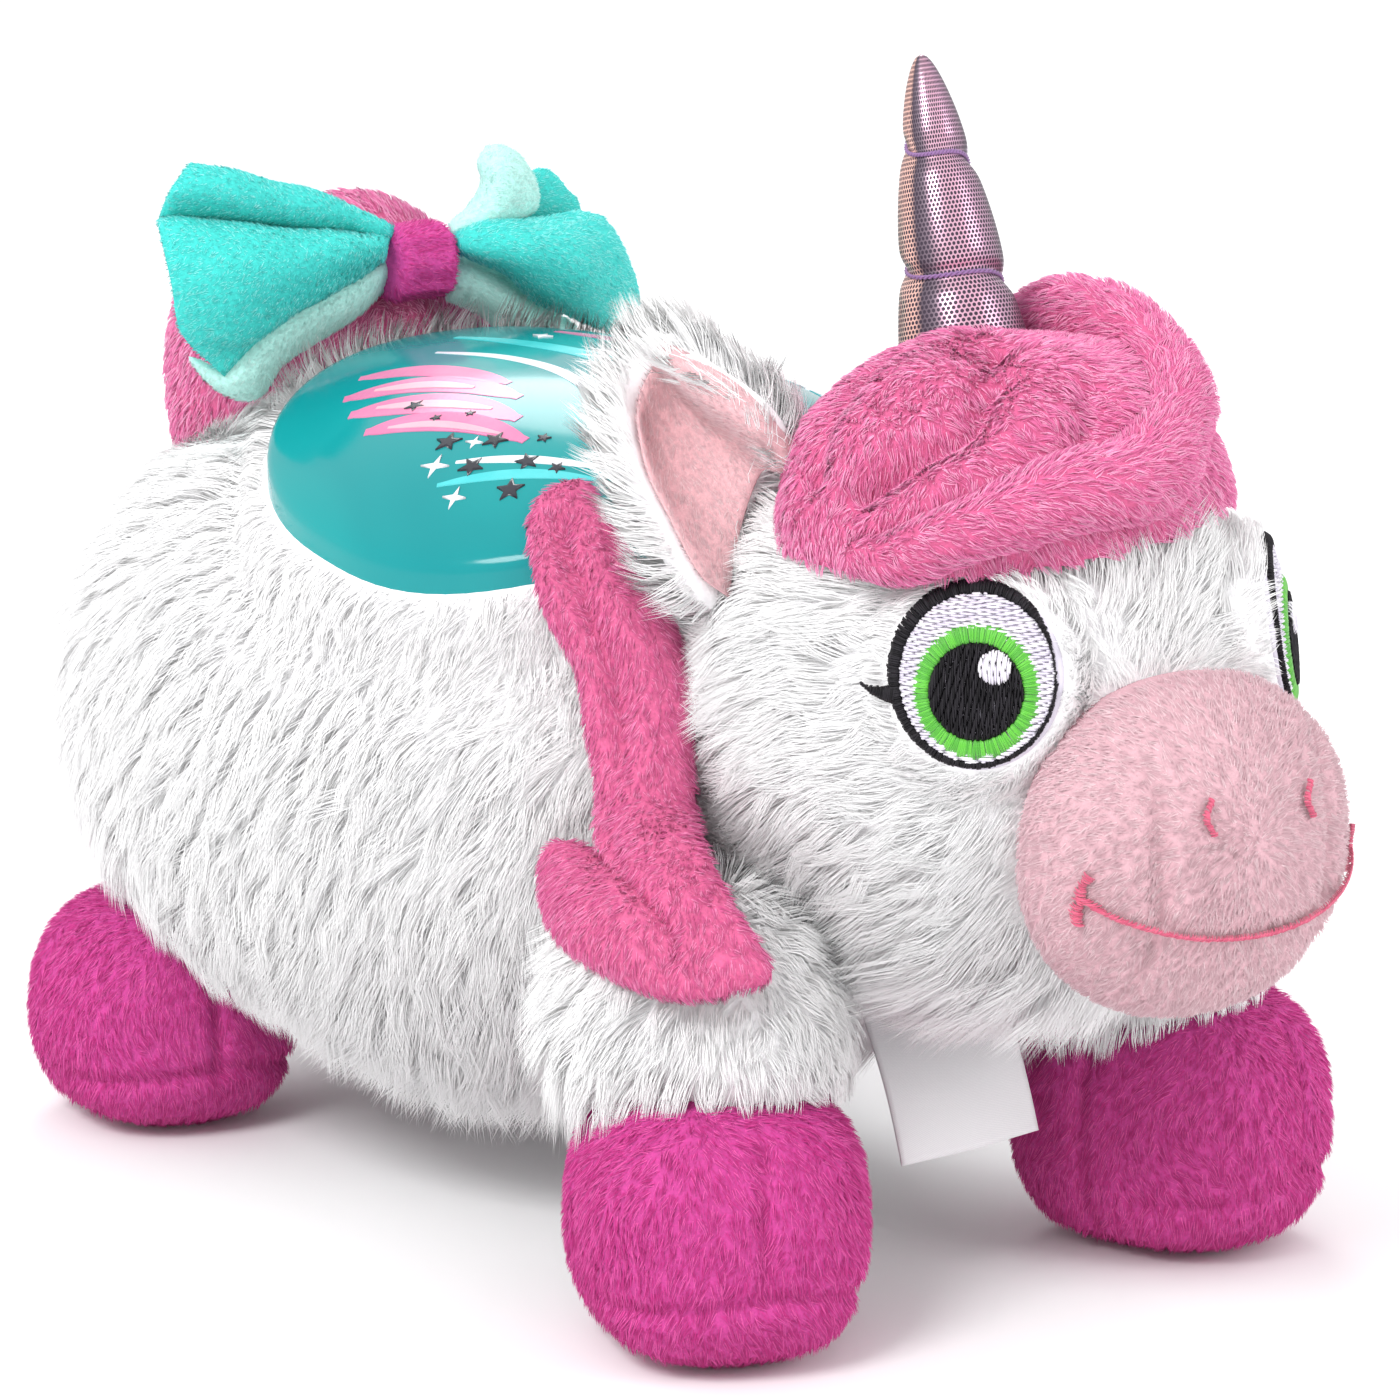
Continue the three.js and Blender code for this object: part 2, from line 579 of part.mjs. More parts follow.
function addForelock(hornSwept, earsSwept) {
  const brow = new THREE.BoxGeometry(2 * FAR, 2 * FAR, FAR).translate(0, 0, -FAR / 2);
  brow.rotateX(Math.atan(FORELOCK.slope)).translate(0, 0, FORELOCK.brim);
  let roll = rollSolid(0).subtract(padAt(HEAD, GAP)).subtract(earsSwept).subtract(hornSwept);
  for (const [, side] of SIDES) {
    const clear = EYE_RINGS.eye_outline.outer.map((half) => half + EYE_PATCH.brow);
    roll = roll.subtract(eyePost(side, clear, 0));
  }
  placeSolid('forelock_roll', 'pink_pile', roll);
  const cap = padAt(FORELOCK)
    .subtract(padAt(HEAD, GAP))
    .subtract(solid(brow))
    .subtract(rollSolid(2 * GAP))
    .subtract(earsSwept)
    .subtract(hornSwept);
  placeSolid('forelock_cap', 'pink_pile', cap);
}

function earMatrix(side) {
  const pose = side > 0 ? LEFT_EAR : RIGHT_EAR;
  return new THREE.Matrix4()
    .makeTranslation(EAR.root[0], side * EAR.root[1], EAR.root[2])
    .multiply(new THREE.Matrix4().makeRotationX(radians(-side * pose.lean)))
    .multiply(new THREE.Matrix4().makeRotationY(radians(-pose.back)))
    .multiply(new THREE.Matrix4().makeRotationZ(radians(side * pose.facing)))
    .multiply(new THREE.Matrix4().makeTranslation(0, 0, EAR.radii[2] * EAR.seat));
}

function earPad(side, radii, forward, up = 0) {
  const ball = pad({ radii, power: EAR.power, wide: 12, high: 7 }).translate(forward, 0, up);
  return solid(ball.applyMatrix4(earMatrix(side)));
}

// The inside of the cup, shrunk by an inset and pushed forward by the same again and more.
function earCup(side, inset) {
  const [thick, wide, tall] = EAR.radii;
  const radii = [thick - inset, wide - EAR.wall - inset, tall - EAR.wall - inset];
  return earPad(side, radii, thick * EAR.cup + Math.max(0, inset - GAP) * 2, 1);
}

function addEar(sideName, side) {
  const pivot = [EAR.root[0], side * EAR.root[1], EAR.root[2]];
  const whole = earPad(side, EAR.radii, 0);
  const outer = whole.subtract(earCup(side, 0));
  const lining = earCup(side, GAP).subtract(earCup(side, 1)).intersect(whole);
  const clear = padAt(HEAD, GAP);
  placeSolid(`${sideName}_ear_back`, 'white_pile', clearOf(outer, clear, pivot, along, EAR.flex));
  placeSolid(`${sideName}_ear_lining`, 'ear_lining', clearOf(lining, clear, pivot, along, EAR.flex));
}

function sweep(piece, pivot, axis, limit) {
  let swept = piece;
  for (const degrees of [-limit, limit]) {
    swept = swept.add(turned(piece, pivot, axis, degrees));
  }
  return swept;
}

let earsSwept = null;
for (const [sideName, side] of SIDES) {
  addEar(sideName, side);
  const pivot = [EAR.root[0], side * EAR.root[1], EAR.root[2]];
  const grown = earPad(side, EAR.radii.map((radius) => radius + GAP), 0);
  const swept = sweep(grown, pivot, along, EAR.flex);
  earsSwept = earsSwept ? earsSwept.add(swept) : swept;
}
const hornRoom = 2 * THREAD.radius + 2 * GAP;
const hornSwept = sweep(hornSolid(-hornRoom, -8, HORN.length), HORN.root, across, HORN.flex);

addHorn();
addForelock(hornSwept, earsSwept);

// Locks of the mane hang in the neck seam, on the front of the body, one on each side.
function addManeLock(sideName, side) {
  const edge = MANE_EDGE.map(([x, z]) => new THREE.Vector2(x, z));
  const flat = prism(edge, 0, MANE.outer - MANE.inner).rotateX(Math.PI / 2);
  flat.translate(0, side > 0 ? MANE.outer : -MANE.inner, 0);
  const lock = padAt(BODY, MANE.far)
    .add(sleevePad(side, MANE.far - MANE.near))
    .intersect(solid(flat))
    .subtract(padAt(BODY, MANE.near))
    .subtract(sleevePad(side, MANE.near))
    .subtract(headSwept)
    .subtract(earsSwept)
    .subtract(windowPrism(-2, 90, 220));
  placeSolid(`${sideName}_mane_lock`, 'pink_pile', lock);
}

SIDES.forEach(([sideName, side]) => addManeLock(sideName, side));

// ---------------------------------------------------------------- tail, bow and label

function wingSolid(side, grow = 0) {
  const [thick, long, tall] = BOW.wing.map((radius) => radius + grow);
  const wing = pad({ radii: [thick, long, tall], power: 3, wide: 12, high: 8 });
  const corner = wing.attributes.position;
  for (let i = 0; i < corner.count; i += 1) {
    const share = (corner.getY(i) * side) / long / 2 + 0.5;
    const narrow = THREE.MathUtils.lerp(WING.root, 1, Math.min(1, share * WING.flare));
    corner.setZ(i, corner.getZ(i) * narrow);
    corner.setX(i, corner.getX(i) * THREE.MathUtils.lerp(WING.slim, 1, share));
  }
  return solid(wing.translate(BOW.centre[0], side * BOW.reach, BOW.centre[2]));
}

function addTail() {
  const knotPad = { centre: BOW.centre, radii: BOW.knot, power: 3, wide: 10, high: 6 };
  const knot = padAt(knotPad);
  const knotClear = padAt(knotPad, GAP);
  const tail = clearOf(padAt({ ...TAIL, power: 2.2 }), bodyClear, TAIL.root, across, TAIL.flex);
  const clearOfBow = tail
    .subtract(knotClear)
    .subtract(wingSolid(-1, 2 * GAP))
    .subtract(wingSolid(1, 2 * GAP));
  placeSolid('tail', 'pink_pile', clearOfBow);
  placeSolid('bow_knot', 'magenta_pile', knot);
  for (const [sideName, side] of SIDES) {
    placeSolid(`${sideName}_bow_wing`, 'bow_pile', wingSolid(side).subtract(knotClear));
  }
}

function addLabel() {
  const [wide, long] = LABEL.size;
  const sheet = new THREE.BoxGeometry(LABEL.thick, wide, long).translate(0, 0, -long / 2 - LABEL.drop);
  sheet.rotateY(radians(-LABEL.hang)).translate(...LABEL.root);
  placeSolid('sewn_in_label', 'label', clearOf(solid(sheet), bodyClear, LABEL.root, across, LABEL.flex));
}

addTail();
addLabel();

export default unicorn;
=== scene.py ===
"""A stuffed toy unicorn with a night light in its back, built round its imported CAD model.

Lengths below are in millimetres, in the frame of the CAD model: +X from the rump to the muzzle,
+Z up, +Y the unicorn's left side. They become metres where a mesh is made.
"""
import json
import math

import bpy
import numpy as np
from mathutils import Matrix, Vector, kdtree

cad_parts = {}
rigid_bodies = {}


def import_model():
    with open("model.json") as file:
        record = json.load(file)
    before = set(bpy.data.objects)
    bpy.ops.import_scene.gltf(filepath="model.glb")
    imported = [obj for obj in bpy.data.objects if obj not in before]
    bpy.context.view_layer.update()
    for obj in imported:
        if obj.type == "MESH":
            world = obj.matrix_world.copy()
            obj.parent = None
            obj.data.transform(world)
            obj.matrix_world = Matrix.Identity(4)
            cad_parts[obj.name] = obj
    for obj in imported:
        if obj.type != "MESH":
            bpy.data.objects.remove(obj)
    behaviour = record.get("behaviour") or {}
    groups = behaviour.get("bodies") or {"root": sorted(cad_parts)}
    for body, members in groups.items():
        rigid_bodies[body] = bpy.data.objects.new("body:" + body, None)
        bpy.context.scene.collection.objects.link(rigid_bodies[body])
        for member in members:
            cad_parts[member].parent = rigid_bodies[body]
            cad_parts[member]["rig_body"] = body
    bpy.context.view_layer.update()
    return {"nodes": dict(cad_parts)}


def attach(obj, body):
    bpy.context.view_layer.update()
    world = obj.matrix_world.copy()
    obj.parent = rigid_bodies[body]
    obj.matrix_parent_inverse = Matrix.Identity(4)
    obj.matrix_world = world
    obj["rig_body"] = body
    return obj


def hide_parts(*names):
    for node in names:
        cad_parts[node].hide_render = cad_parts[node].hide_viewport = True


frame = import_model()

MM = 0.001
SIDES = (("right", -1), ("left", 1))

BODY = dict(centre=(-53, 0, 90), radii=(122, 90, 76), power=2.2)
HEAD = dict(centre=(99, 0, 125), radii=(58, 54, 63), power=2.15)
MUZZLE = dict(centre=(155, 0, 104.7), radii=(23, 36, 33.5), power=2.2)
SLEEVE = dict(centre=(79, 54, 62), radii=(34, 30, 33), power=2.0)
FRONT_HOOF = dict(centre=(87, 58, 26), radii=(32, 28, 30), power=2.6, splay=19)
REAR_HOOF = dict(centre=(-111, 58, 24), radii=(30, 28, 28), power=2.4, splay=8)
TAIL = dict(centre=(-131, 1, 155), radii=(25, 40, 39), power=2.2)
FORELOCK = dict(centre=(108, -5, 160), radii=(39, 45, 36), power=2.2)
WINDOW = dict(middle=-24, half=(61, 72), power=2.3, proud=5)
POCKET = dict(middle=-26, half=(35, 27), below=60)
EYE = dict(centre=(137, 35, 138), facing=46, lift=6, halves=(16.3, 17.4))
PILE_ROOT = -6.5


# ------------------------------------------------------------------ small helpers

def unit(v):
    """Vectors made one long."""
    v = np.asarray(v, float)
    return v / np.maximum(np.linalg.norm(v, axis=-1, keepdims=True), 1e-9)


def smoothstep(a, b, x):
    """A soft step from 0 where x is a to 1 where it is b."""
    t = np.clip((x - a) / (b - a), 0, 1)
    return t * t * (3 - 2 * t)


def turn_z(points, degrees):
    a = math.radians(degrees)
    c, s = math.cos(a), math.sin(a)
    return points @ np.array([[c, s, 0], [-s, c, 0], [0, 0, 1]])


def waves(points, size, seed):
    """A smooth made-up landscape from -1 to 1, with hills about size mm apart."""
    rng = np.random.default_rng(seed)
    total = np.zeros(len(points))
    for _ in range(6):
        k = unit(rng.normal(size=3)) * 2 * math.pi / (size * rng.uniform(0.7, 1.5))
        total += np.sin(points @ k + rng.uniform(0, 6.28))
    return total / 3.2


# ------------------------------------------------------------------ materials

def principled(name, **inputs):
    """A new material and its shader, whose inputs are named with _ in place of spaces."""
    mat = bpy.data.materials.new(name)
    mat.use_nodes = True
    shader = mat.node_tree.nodes["Principled BSDF"]
    for key, value in inputs.items():
        shader.inputs[key.replace("_", " ")].default_value = value
    return mat, shader


def plain(name, colour, roughness=0.8, **inputs):
    """One constant shade, for strands and threads whose variety comes from several shades."""
    return principled(name, Base_Color=(*colour, 1), Roughness=roughness, **inputs)[0]


def node(tree, kind, **values):
    """A shader node with some of its inputs or settings given by name."""
    made = tree.nodes.new(kind)
    for key, value in values.items():
        if key in made.inputs:
            made.inputs[key].default_value = value
        else:
            setattr(made, key, value)
    return made


def pattern(tree, kind, output="Fac", **values):
    """A procedural texture laid out in the object's own space."""
    place = node(tree, "ShaderNodeTexCoord")
    texture = node(tree, f"ShaderNodeTex{kind}", **values)
    tree.links.new(place.outputs["Object"], texture.inputs["Vector"])
    return texture.outputs[output]


def colour_ramp(tree, share, stops):
    """The colour that a share from 0 to 1 picks between (place, colour) stops."""
    ramp = node(tree, "ShaderNodeValToRGB")
    elements = ramp.color_ramp.elements
    for i in (0, -1):
        elements[i].position, elements[i].color = stops[i][0], (*stops[i][1], 1)
    for place, colour in stops[1:-1]:
        elements.new(place).color = (*colour, 1)
    tree.links.new(share, ramp.inputs["Fac"])
    return ramp.outputs["Color"]


def vary_roughness(tree, shader, share, low, high):
    """Makes a surface's roughness follow a share from 0 to 1."""
    spread = node(tree, "ShaderNodeMapRange", **{"To Min": low, "To Max": high})
    tree.links.new(share, spread.inputs["Value"])
    tree.links.new(spread.outputs["Result"], shader.inputs["Roughness"])


def add_relief(tree, shader, height, strength, distance, invert=False):
    """Fine relief, distance metres high, that follows a pattern."""
    bump = node(tree, "ShaderNodeBump", Strength=strength, Distance=distance, invert=invert)
    tree.links.new(height, bump.inputs["Height"])
    tree.links.new(bump.outputs["Normal"], shader.inputs["Normal"])


def textured(name, dark, light, scale, roughness=0.7, bump=0.3, kind="NOISE", distance=0.0004, **inputs):
    """A surface whose colour, roughness and relief all vary with one procedural pattern."""
    mat, shader = principled(name, **inputs)
    tree = mat.node_tree
    if kind == "WEAVE":
        woven = node(tree, "ShaderNodeMath", operation="MULTIPLY")
        for socket, way in zip(woven.inputs, "XZ"):
            wave = pattern(tree, "Wave", Scale=scale, Distortion=1.0, bands_direction=way)
            tree.links.new(wave, socket)
        share = woven.outputs[0]
    elif kind == "CELLS":
        share = pattern(tree, "Voronoi", "Distance", Scale=scale)
    else:
        share = pattern(tree, "Noise", Scale=scale, Detail=6.0, Roughness=0.6)
    tree.links.new(colour_ramp(tree, share, [(0.3, dark), (0.7, light)]), shader.inputs["Base Color"])
    vary_roughness(tree, shader, share, roughness - 0.08, roughness + 0.08)
    add_relief(tree, shader, share, bump, distance)
    return mat


def shades(name, *colours):
    """The shades that the strands of one pile take by chance."""
    return [plain(f"{name}_{i}", colour, 0.75) for i, colour in enumerate(colours, 1)]


WHITE = shades("white_pile", (0.99, 0.985, 0.985), (0.975, 0.97, 0.98), (1.0, 1.0, 1.0))
PINK = shades("pink_pile", (0.83, 0.19, 0.42), (0.75, 0.14, 0.34), (0.94, 0.38, 0.60))
# The mane's pile is the pink pile made darker: the darkness is painted shade.
MANE_PINK_PAINTED_SHADE = shades("mane_pile", (0.72, 0.12, 0.31), (0.64, 0.085, 0.26), (0.84, 0.24, 0.46))
MAGENTA = shades("magenta_pile", (0.60, 0.03, 0.25), (0.50, 0.02, 0.195), (0.76, 0.09, 0.37))
BLUSH = shades("muzzle_pile", (0.69, 0.445, 0.49), (0.64, 0.395, 0.445), (0.78, 0.56, 0.60))
TURQUOISE = shades("bow_pile", (0.10, 0.77, 0.74), (0.05, 0.68, 0.66), (0.30, 0.90, 0.86))
MINT = shades("mint_pile", (0.58, 0.95, 0.88), (0.50, 0.91, 0.84), (0.68, 0.98, 0.92))
LINING = shades("ear_lining", (0.78, 0.52, 0.55), (0.73, 0.46, 0.50), (0.86, 0.62, 0.64))

BACKING = textured("white_backing", (0.86, 0.85, 0.87), (0.95, 0.94, 0.95), 900, 0.9, 0.3)


def cloth(name, tone, dark=0.72):
    """The knitted ground under a pile, as one tone and a darker one."""
    return textured(name, [c * dark for c in tone], tone, 1400, 0.85, 0.5)


PINK_CLOTH = cloth("pink_cloth", (0.72, 0.13, 0.30))
MAGENTA_CLOTH = cloth("magenta_cloth", (0.62, 0.055, 0.31))
BLUSH_CLOTH = cloth("muzzle_cloth", (0.66, 0.40, 0.45), 0.85)
TURQUOISE_CLOTH = cloth("bow_cloth", (0.05, 0.68, 0.62))
MINT_CLOTH = cloth("mint_cloth", (0.52, 0.90, 0.83), 0.85)
LINING_CLOTH = cloth("lining_cloth", (0.80, 0.48, 0.51), 0.85)


# ------------------------------------------------------------------ meshes

def add_mesh(name, points, faces, materials, picks=None, smooth=True, facing=None):
    """A mesh object from points in mm and faces of three or four corners each."""
    mesh = bpy.data.meshes.new(name)
    points = np.asarray(points, float) * MM
    groups = [np.asarray(f, np.int32) for f in (faces if isinstance(faces, list) else [faces]) if len(f)]
    corners = np.concatenate([g.ravel() for g in groups])
    sizes = np.concatenate([np.full(len(g), g.shape[1], np.int32) for g in groups])
    mesh.vertices.add(len(points))
    mesh.vertices.foreach_set("co", points.astype(np.float32).ravel())
    mesh.loops.add(len(corners))
    mesh.loops.foreach_set("vertex_index", corners)
    mesh.polygons.add(len(sizes))
    mesh.polygons.foreach_set("loop_start", np.concatenate([[0], np.cumsum(sizes)[:-1]]).astype(np.int32))
    for material in materials:
        mesh.materials.append(material)
    if picks is not None:
        mesh.polygons.foreach_set("material_index", np.asarray(picks, np.int32))
    mesh.polygons.foreach_set("use_smooth", np.full(len(sizes), smooth))
    mesh.update(calc_edges=True)
    mesh.validate()
    if facing is not None:
        held = mesh.attributes.new("custom_normal", "FLOAT_VECTOR", "POINT")
        held.data.foreach_set("vector", facing.astype(np.float32).ravel())
        mesh.update()
    made = bpy.data.objects.new(name, mesh)
    bpy.context.scene.collection.objects.link(made)
    return made


def finish_piece(made, body, slot, replaced=()):
    """Tells the frame what a piece rides and hides the CAD nodes it replaces; slot is not used."""
    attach(made, body)
    if replaced:
        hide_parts(*replaced)
    return made


def add_piece(name, shape, material, body, slot, replaced=(), fill=None, **settings):
    """A mesh that rides a body; its shape is its points and faces."""
    return finish_piece(add_mesh(name, *shape, [material], **settings), body, slot, replaced)


def nearest_in(points):
    """A lookup of which of these points is the nearest to each of some others."""
    tree = kdtree.KDTree(len(points))
    for i, point in enumerate(points):
        tree.insert(point, i)
    tree.balance()
    return lambda others: np.array([tree.find(point)[1] for point in others])


def around(count):
    """The angles of even steps round a circle."""
    return np.arange(count) / count * 2 * math.pi


def normals_of(points, quads):
    """Smooth outward directions at the points of a mesh of four-cornered faces."""
    a, b, c, d = (points[quads[:, i]] for i in range(4))
    flat = np.cross(c - a, d - b)
    total = np.zeros_like(points)
    for i in range(4):
        np.add.at(total, quads[:, i], flat)
    return unit(total)


def ball(n):
    """Points and four-cornered faces of a cube with n by n faces a side, blown up to a ball."""
    steps = np.tan(np.linspace(-1, 1, n + 1) * math.pi / 4)
    u, v = np.meshgrid(steps, steps, indexing="ij")
    one = np.ones_like(u)
    sheets = [(one, u, v), (-one, v, u), (v, one, u), (u, -one, v), (u, v, one), (v, u, -one)]
    points = np.concatenate([np.stack(s, -1).reshape(-1, 3) for s in sheets])
    keys = np.round(points * 1e4).astype(np.int64)
    _, first, back = np.unique(keys, axis=0, return_index=True, return_inverse=True)
    back = back.reshape(-1)
    i, j = np.meshgrid(np.arange(n), np.arange(n), indexing="ij")
    corner = (i * (n + 1) + j).ravel()
    quad = np.stack([corner, corner + n + 1, corner + n + 2, corner + 1], -1)
    quads = np.concatenate([quad + s * (n + 1) ** 2 for s in range(6)])
    return unit(points[first]), back[quads]


def pad_point(shape, way, grow=0.0):
    """Where a way out from the middle of a rounded pad meets its surface."""
    p = shape["power"]
    radii = np.array(shape["radii"]) + np.asarray(grow)[..., None]
    size = (np.abs(way) ** p).sum(-1, keepdims=True) ** (-1 / p)
    return np.array(shape["centre"]) + way * size * radii


def inside(shape, points, grow=0.0):
    """Below 1 inside the pad, 1 on its surface and above 1 outside."""
    radii = np.array(shape["radii"]) + grow
    share = np.abs((points - np.array(shape["centre"])) / radii)
    return (share ** shape["power"]).sum(-1) ** (1 / shape["power"])


def mirrored(shape, side):
    x, y, z = shape["centre"]
    return {**shape, "centre": (x, side * y, z)}


def closed_shell(points, quads, thick=1.0):
    """A surface with open edges made into a closed body, thick mm deep, inwards."""
    used, back = np.unique(quads, return_inverse=True)
    points, quads = points[used], back.reshape(quads.shape)
    inner = points - normals_of(points, quads) * thick
    count = len(points)
    edges = np.concatenate([quads[:, [i, (i + 1) % 4]] for i in range(4)])
    known = {tuple(e) for e in edges}
    rim = np.array([e for e in known if (e[1], e[0]) not in known], dtype=int).reshape(-1, 2)
    sides = np.stack([rim[:, 1], rim[:, 0], rim[:, 0] + count, rim[:, 1] + count], -1)
    return np.concatenate([points, inner]), np.concatenate([quads, quads[:, ::-1] + count, sides])


def catmull(rows, steps):
    """Smooth points through rows of control points, steps between each two."""
    rows = np.asarray(rows, float)
    ends = np.concatenate([2 * rows[:1] - rows[1:2], rows, 2 * rows[-1:] - rows[-2:-1]])
    t = np.arange(steps).reshape((steps,) + (1,) * (rows.ndim - 1)) / steps
    out = []
    for i in range(len(rows) - 1):
        a, b, c, d = ends[i:i + 4]
        bend = (2 * a - 5 * b + 4 * c - d) * t ** 2 + (3 * b - a - 3 * c + d) * t ** 3
        out.append(0.5 * (2 * b + (c - a) * t + bend))
    return np.concatenate(out + [rows[-1:]])


def crease(points, outward, path, wide, deep):
    """Pulls a surface in along a sewn line through the points of a path."""
    line = catmull(np.array(path, float), 8)
    near = np.full(len(points), 1e9)
    for a, b in zip(line[:-1], line[1:]):
        t = np.clip(((points - a) @ (b - a)) / max((b - a) @ (b - a), 1e-9), 0, 1)
        near = np.minimum(near, np.linalg.norm(points - a - t[:, None] * (b - a), axis=1))
    return points - outward * (deep * np.exp(-(near / wide) ** 2))[:, None]


def net(controls, steps):
    """A fine grid of points through a coarse grid of control points."""
    grid = catmull(controls, steps)
    return catmull(grid.transpose(1, 0, 2), steps).transpose(1, 0, 2)


def grid_quads(rows, columns, wrap=False):
    i, j = np.meshgrid(np.arange(rows - 1), np.arange(columns if wrap else columns - 1), indexing="ij")
    a, b = (i * columns + j).ravel(), (i * columns + (j + 1) % columns).ravel()
    return np.stack([a, a + columns, b + columns, b], -1)


def pillow(grid, thick, edge=0.6, power=2.0):
    """A closed stuffed form round a grid: thickest in the middle, drawn to a seam at its edge.

    Returns its points and faces; the first half of the points is the front."""
    rows, columns = grid.shape[:2]
    flat = grid.reshape(-1, 3)
    quads = grid_quads(rows, columns)
    out = normals_of(flat, quads)
    u = np.abs(np.linspace(-1, 1, rows))[:, None]
    v = np.abs(np.linspace(-1, 1, columns))[None, :]
    profile = ((1 - u ** (2 * power)) * (1 - v ** (2 * power))).clip(0) ** 0.5
    deep = (edge + (np.asarray(thick) - edge) * profile).reshape(-1, 1) / 2
    points = np.concatenate([flat + out * deep, flat - out * deep])
    count = len(flat)
    loop = np.concatenate([
        np.arange(columns - 1), np.arange(rows - 1) * columns + columns - 1,
        (rows - 1) * columns + np.arange(columns - 1, 0, -1), np.arange(rows - 1, 0, -1) * columns])
    after = np.roll(loop, -1)
    rim = np.stack([loop, after, after + count, loop + count], -1)
    return points, np.concatenate([quads, quads[:, ::-1] + count, rim])


def stacked(rings, first_middle, last_middle, turned=False):
    """A closed skin over a stack of rings of points, drawn to a middle point at each end."""
    rows, sides = rings.shape[:2]
    count = rows * sides
    quads = grid_quads(rows, sides, wrap=True)
    first = np.arange(sides)
    last = first + count - sides
    caps = np.concatenate([
        np.stack([np.full(sides, count), first, np.roll(first, -1)], -1),
        np.stack([np.full(sides, count + 1), np.roll(last, -1), last], -1)])
    if turned:
        quads, caps = quads[:, ::-1], caps[:, ::-1]
    return np.concatenate([rings.reshape(-1, 3), [first_middle, last_middle]]), [quads, caps]


def tube(path, radii, sides):
    """A closed tube along a path, with a radius at each point of the path."""
    ahead = unit(np.gradient(path, axis=0))
    aside = unit(np.cross(ahead, [0.0, 0.0, 1.0]))
    above = np.cross(aside, ahead)
    turn = around(sides)[None, :, None]
    ring = np.cos(turn) * aside[:, None] + np.sin(turn) * above[:, None]
    radii = np.broadcast_to(radii, (len(path),))[:, None, None]
    return stacked(path[:, None] + ring * radii, path[0], path[-1])


def slab(outline, levels, top, low, turned=False):
    """A thin closed disc: a flat outline drawn in to its middle by levels, on a top and a low surface."""
    middle = outline.mean(0)
    flat = np.concatenate([middle + (outline - middle) * level for level in levels] + [middle[None]])
    count, size = len(outline), len(flat)
    here = np.arange(count)
    after = np.roll(here, -1)
    quads = grid_quads(len(levels), count, wrap=True)
    fan = np.stack([np.full(count, size - 1), here, after], -1)
    rim = np.stack([here, here + size, after + size, after], -1) + (len(levels) - 1) * count
    quads = np.concatenate([quads, quads[:, ::-1] + size, rim])
    fan = np.concatenate([fan, fan[:, ::-1] + size])
    if turned:
        quads, fan = quads[:, ::-1], fan[:, ::-1]
    return np.concatenate([top(flat), low(flat)]), [quads, fan]


# ------------------------------------------------------------------ pile

MOST_FACES = 190000
SOFTNESS = 0.82
STRAND_SIDES = 3
LONG_PILE = dict(pull=0.42, rings=2, stray=17)
SHORT_PILE = dict(pull=0.45, rings=1, lift=(40, 18))
FINE_PILE = dict(pull=0.4, rings=1, lift=(38, 16))


def scatter(skin, per_mm2, rng, keep):
    """Places spread evenly over a skin of four-cornered faces, and the ways up from it there."""
    points, quads = skin
    outward = normals_of(points, quads)
    tris = np.concatenate([quads[:, [0, 1, 2]], quads[:, [0, 2, 3]]])
    a, b, c = (points[tris[:, i]] for i in range(3))
    area = np.linalg.norm(np.cross(b - a, c - a), axis=1) / 2
    count = int(area.sum() * per_mm2)
    pick = rng.choice(len(tris), count, p=area / area.sum())
    r1, r2 = np.sqrt(rng.random(count)), rng.random(count)
    share = np.stack([1 - r1, r1 * (1 - r2), r1 * r2], -1)[:, :, None]
    place = (points[tris[pick]] * share).sum(1)
    up = unit((outward[tris[pick]] * share).sum(1))
    if keep is None:
        return place, up
    kept = keep(place, up)
    return place[kept], up[kept]


def strand_faces(rings):
    """The faces of one strand, whose points are counted ring by ring with the tip last."""
    quads = grid_quads(rings, STRAND_SIDES, wrap=True)
    top = (rings - 1) * STRAND_SIDES
    tip = [(top + (k + 1) % STRAND_SIDES, top + k, top + STRAND_SIDES) for k in range(STRAND_SIDES)]
    return quads, np.array(tip + [(0, 1, 2)])


def strand_spines(root, up, centre, centre_up, comb, rng, length, lift, pull, rings, reach, stray):
    """The middle lines of strands that lean together in tufts and lie the way comb says."""
    tuft = nearest_in(centre)(root)
    low, high = math.radians(lift[0]), math.radians(lift[1])
    tuft_twist = rng.normal(0, math.radians(stray), len(centre))
    tuft_long = rng.uniform(0.8, 1.15, len(centre))
    own_twist = tuft_twist[tuft] + rng.normal(0, math.radians(stray * 0.6), len(root))
    own_long = tuft_long[tuft] * rng.uniform(0.75, 1.1, len(root))
    if reach is not None:
        tuft_long = tuft_long * reach(centre, centre_up)
        own_long = own_long * reach(root, up)

    def curve(where, normal, twist, long):
        way = comb(where, normal)
        way = unit(way - (way * normal).sum(-1, keepdims=True) * normal)
        way = way * np.cos(twist)[:, None] + np.cross(normal, way) * np.sin(twist)[:, None]
        start = way * math.cos(low) + normal * math.sin(low)
        end = way * math.cos(high) + normal * math.sin(high)
        return lambda s: where + (start * s + (end - start) * s * s / 2) * (long * length)[:, None]

    own_curve = curve(root, up, own_twist, own_long)
    tuft_curve = curve(centre, centre_up, tuft_twist, tuft_long)
    spine = []
    for s in np.arange(rings + 1) / rings:
        own = own_curve(s)
        spine.append(own + (tuft_curve(s)[tuft] - own) * pull * s ** 1.4)
    return np.stack(spine, 1)


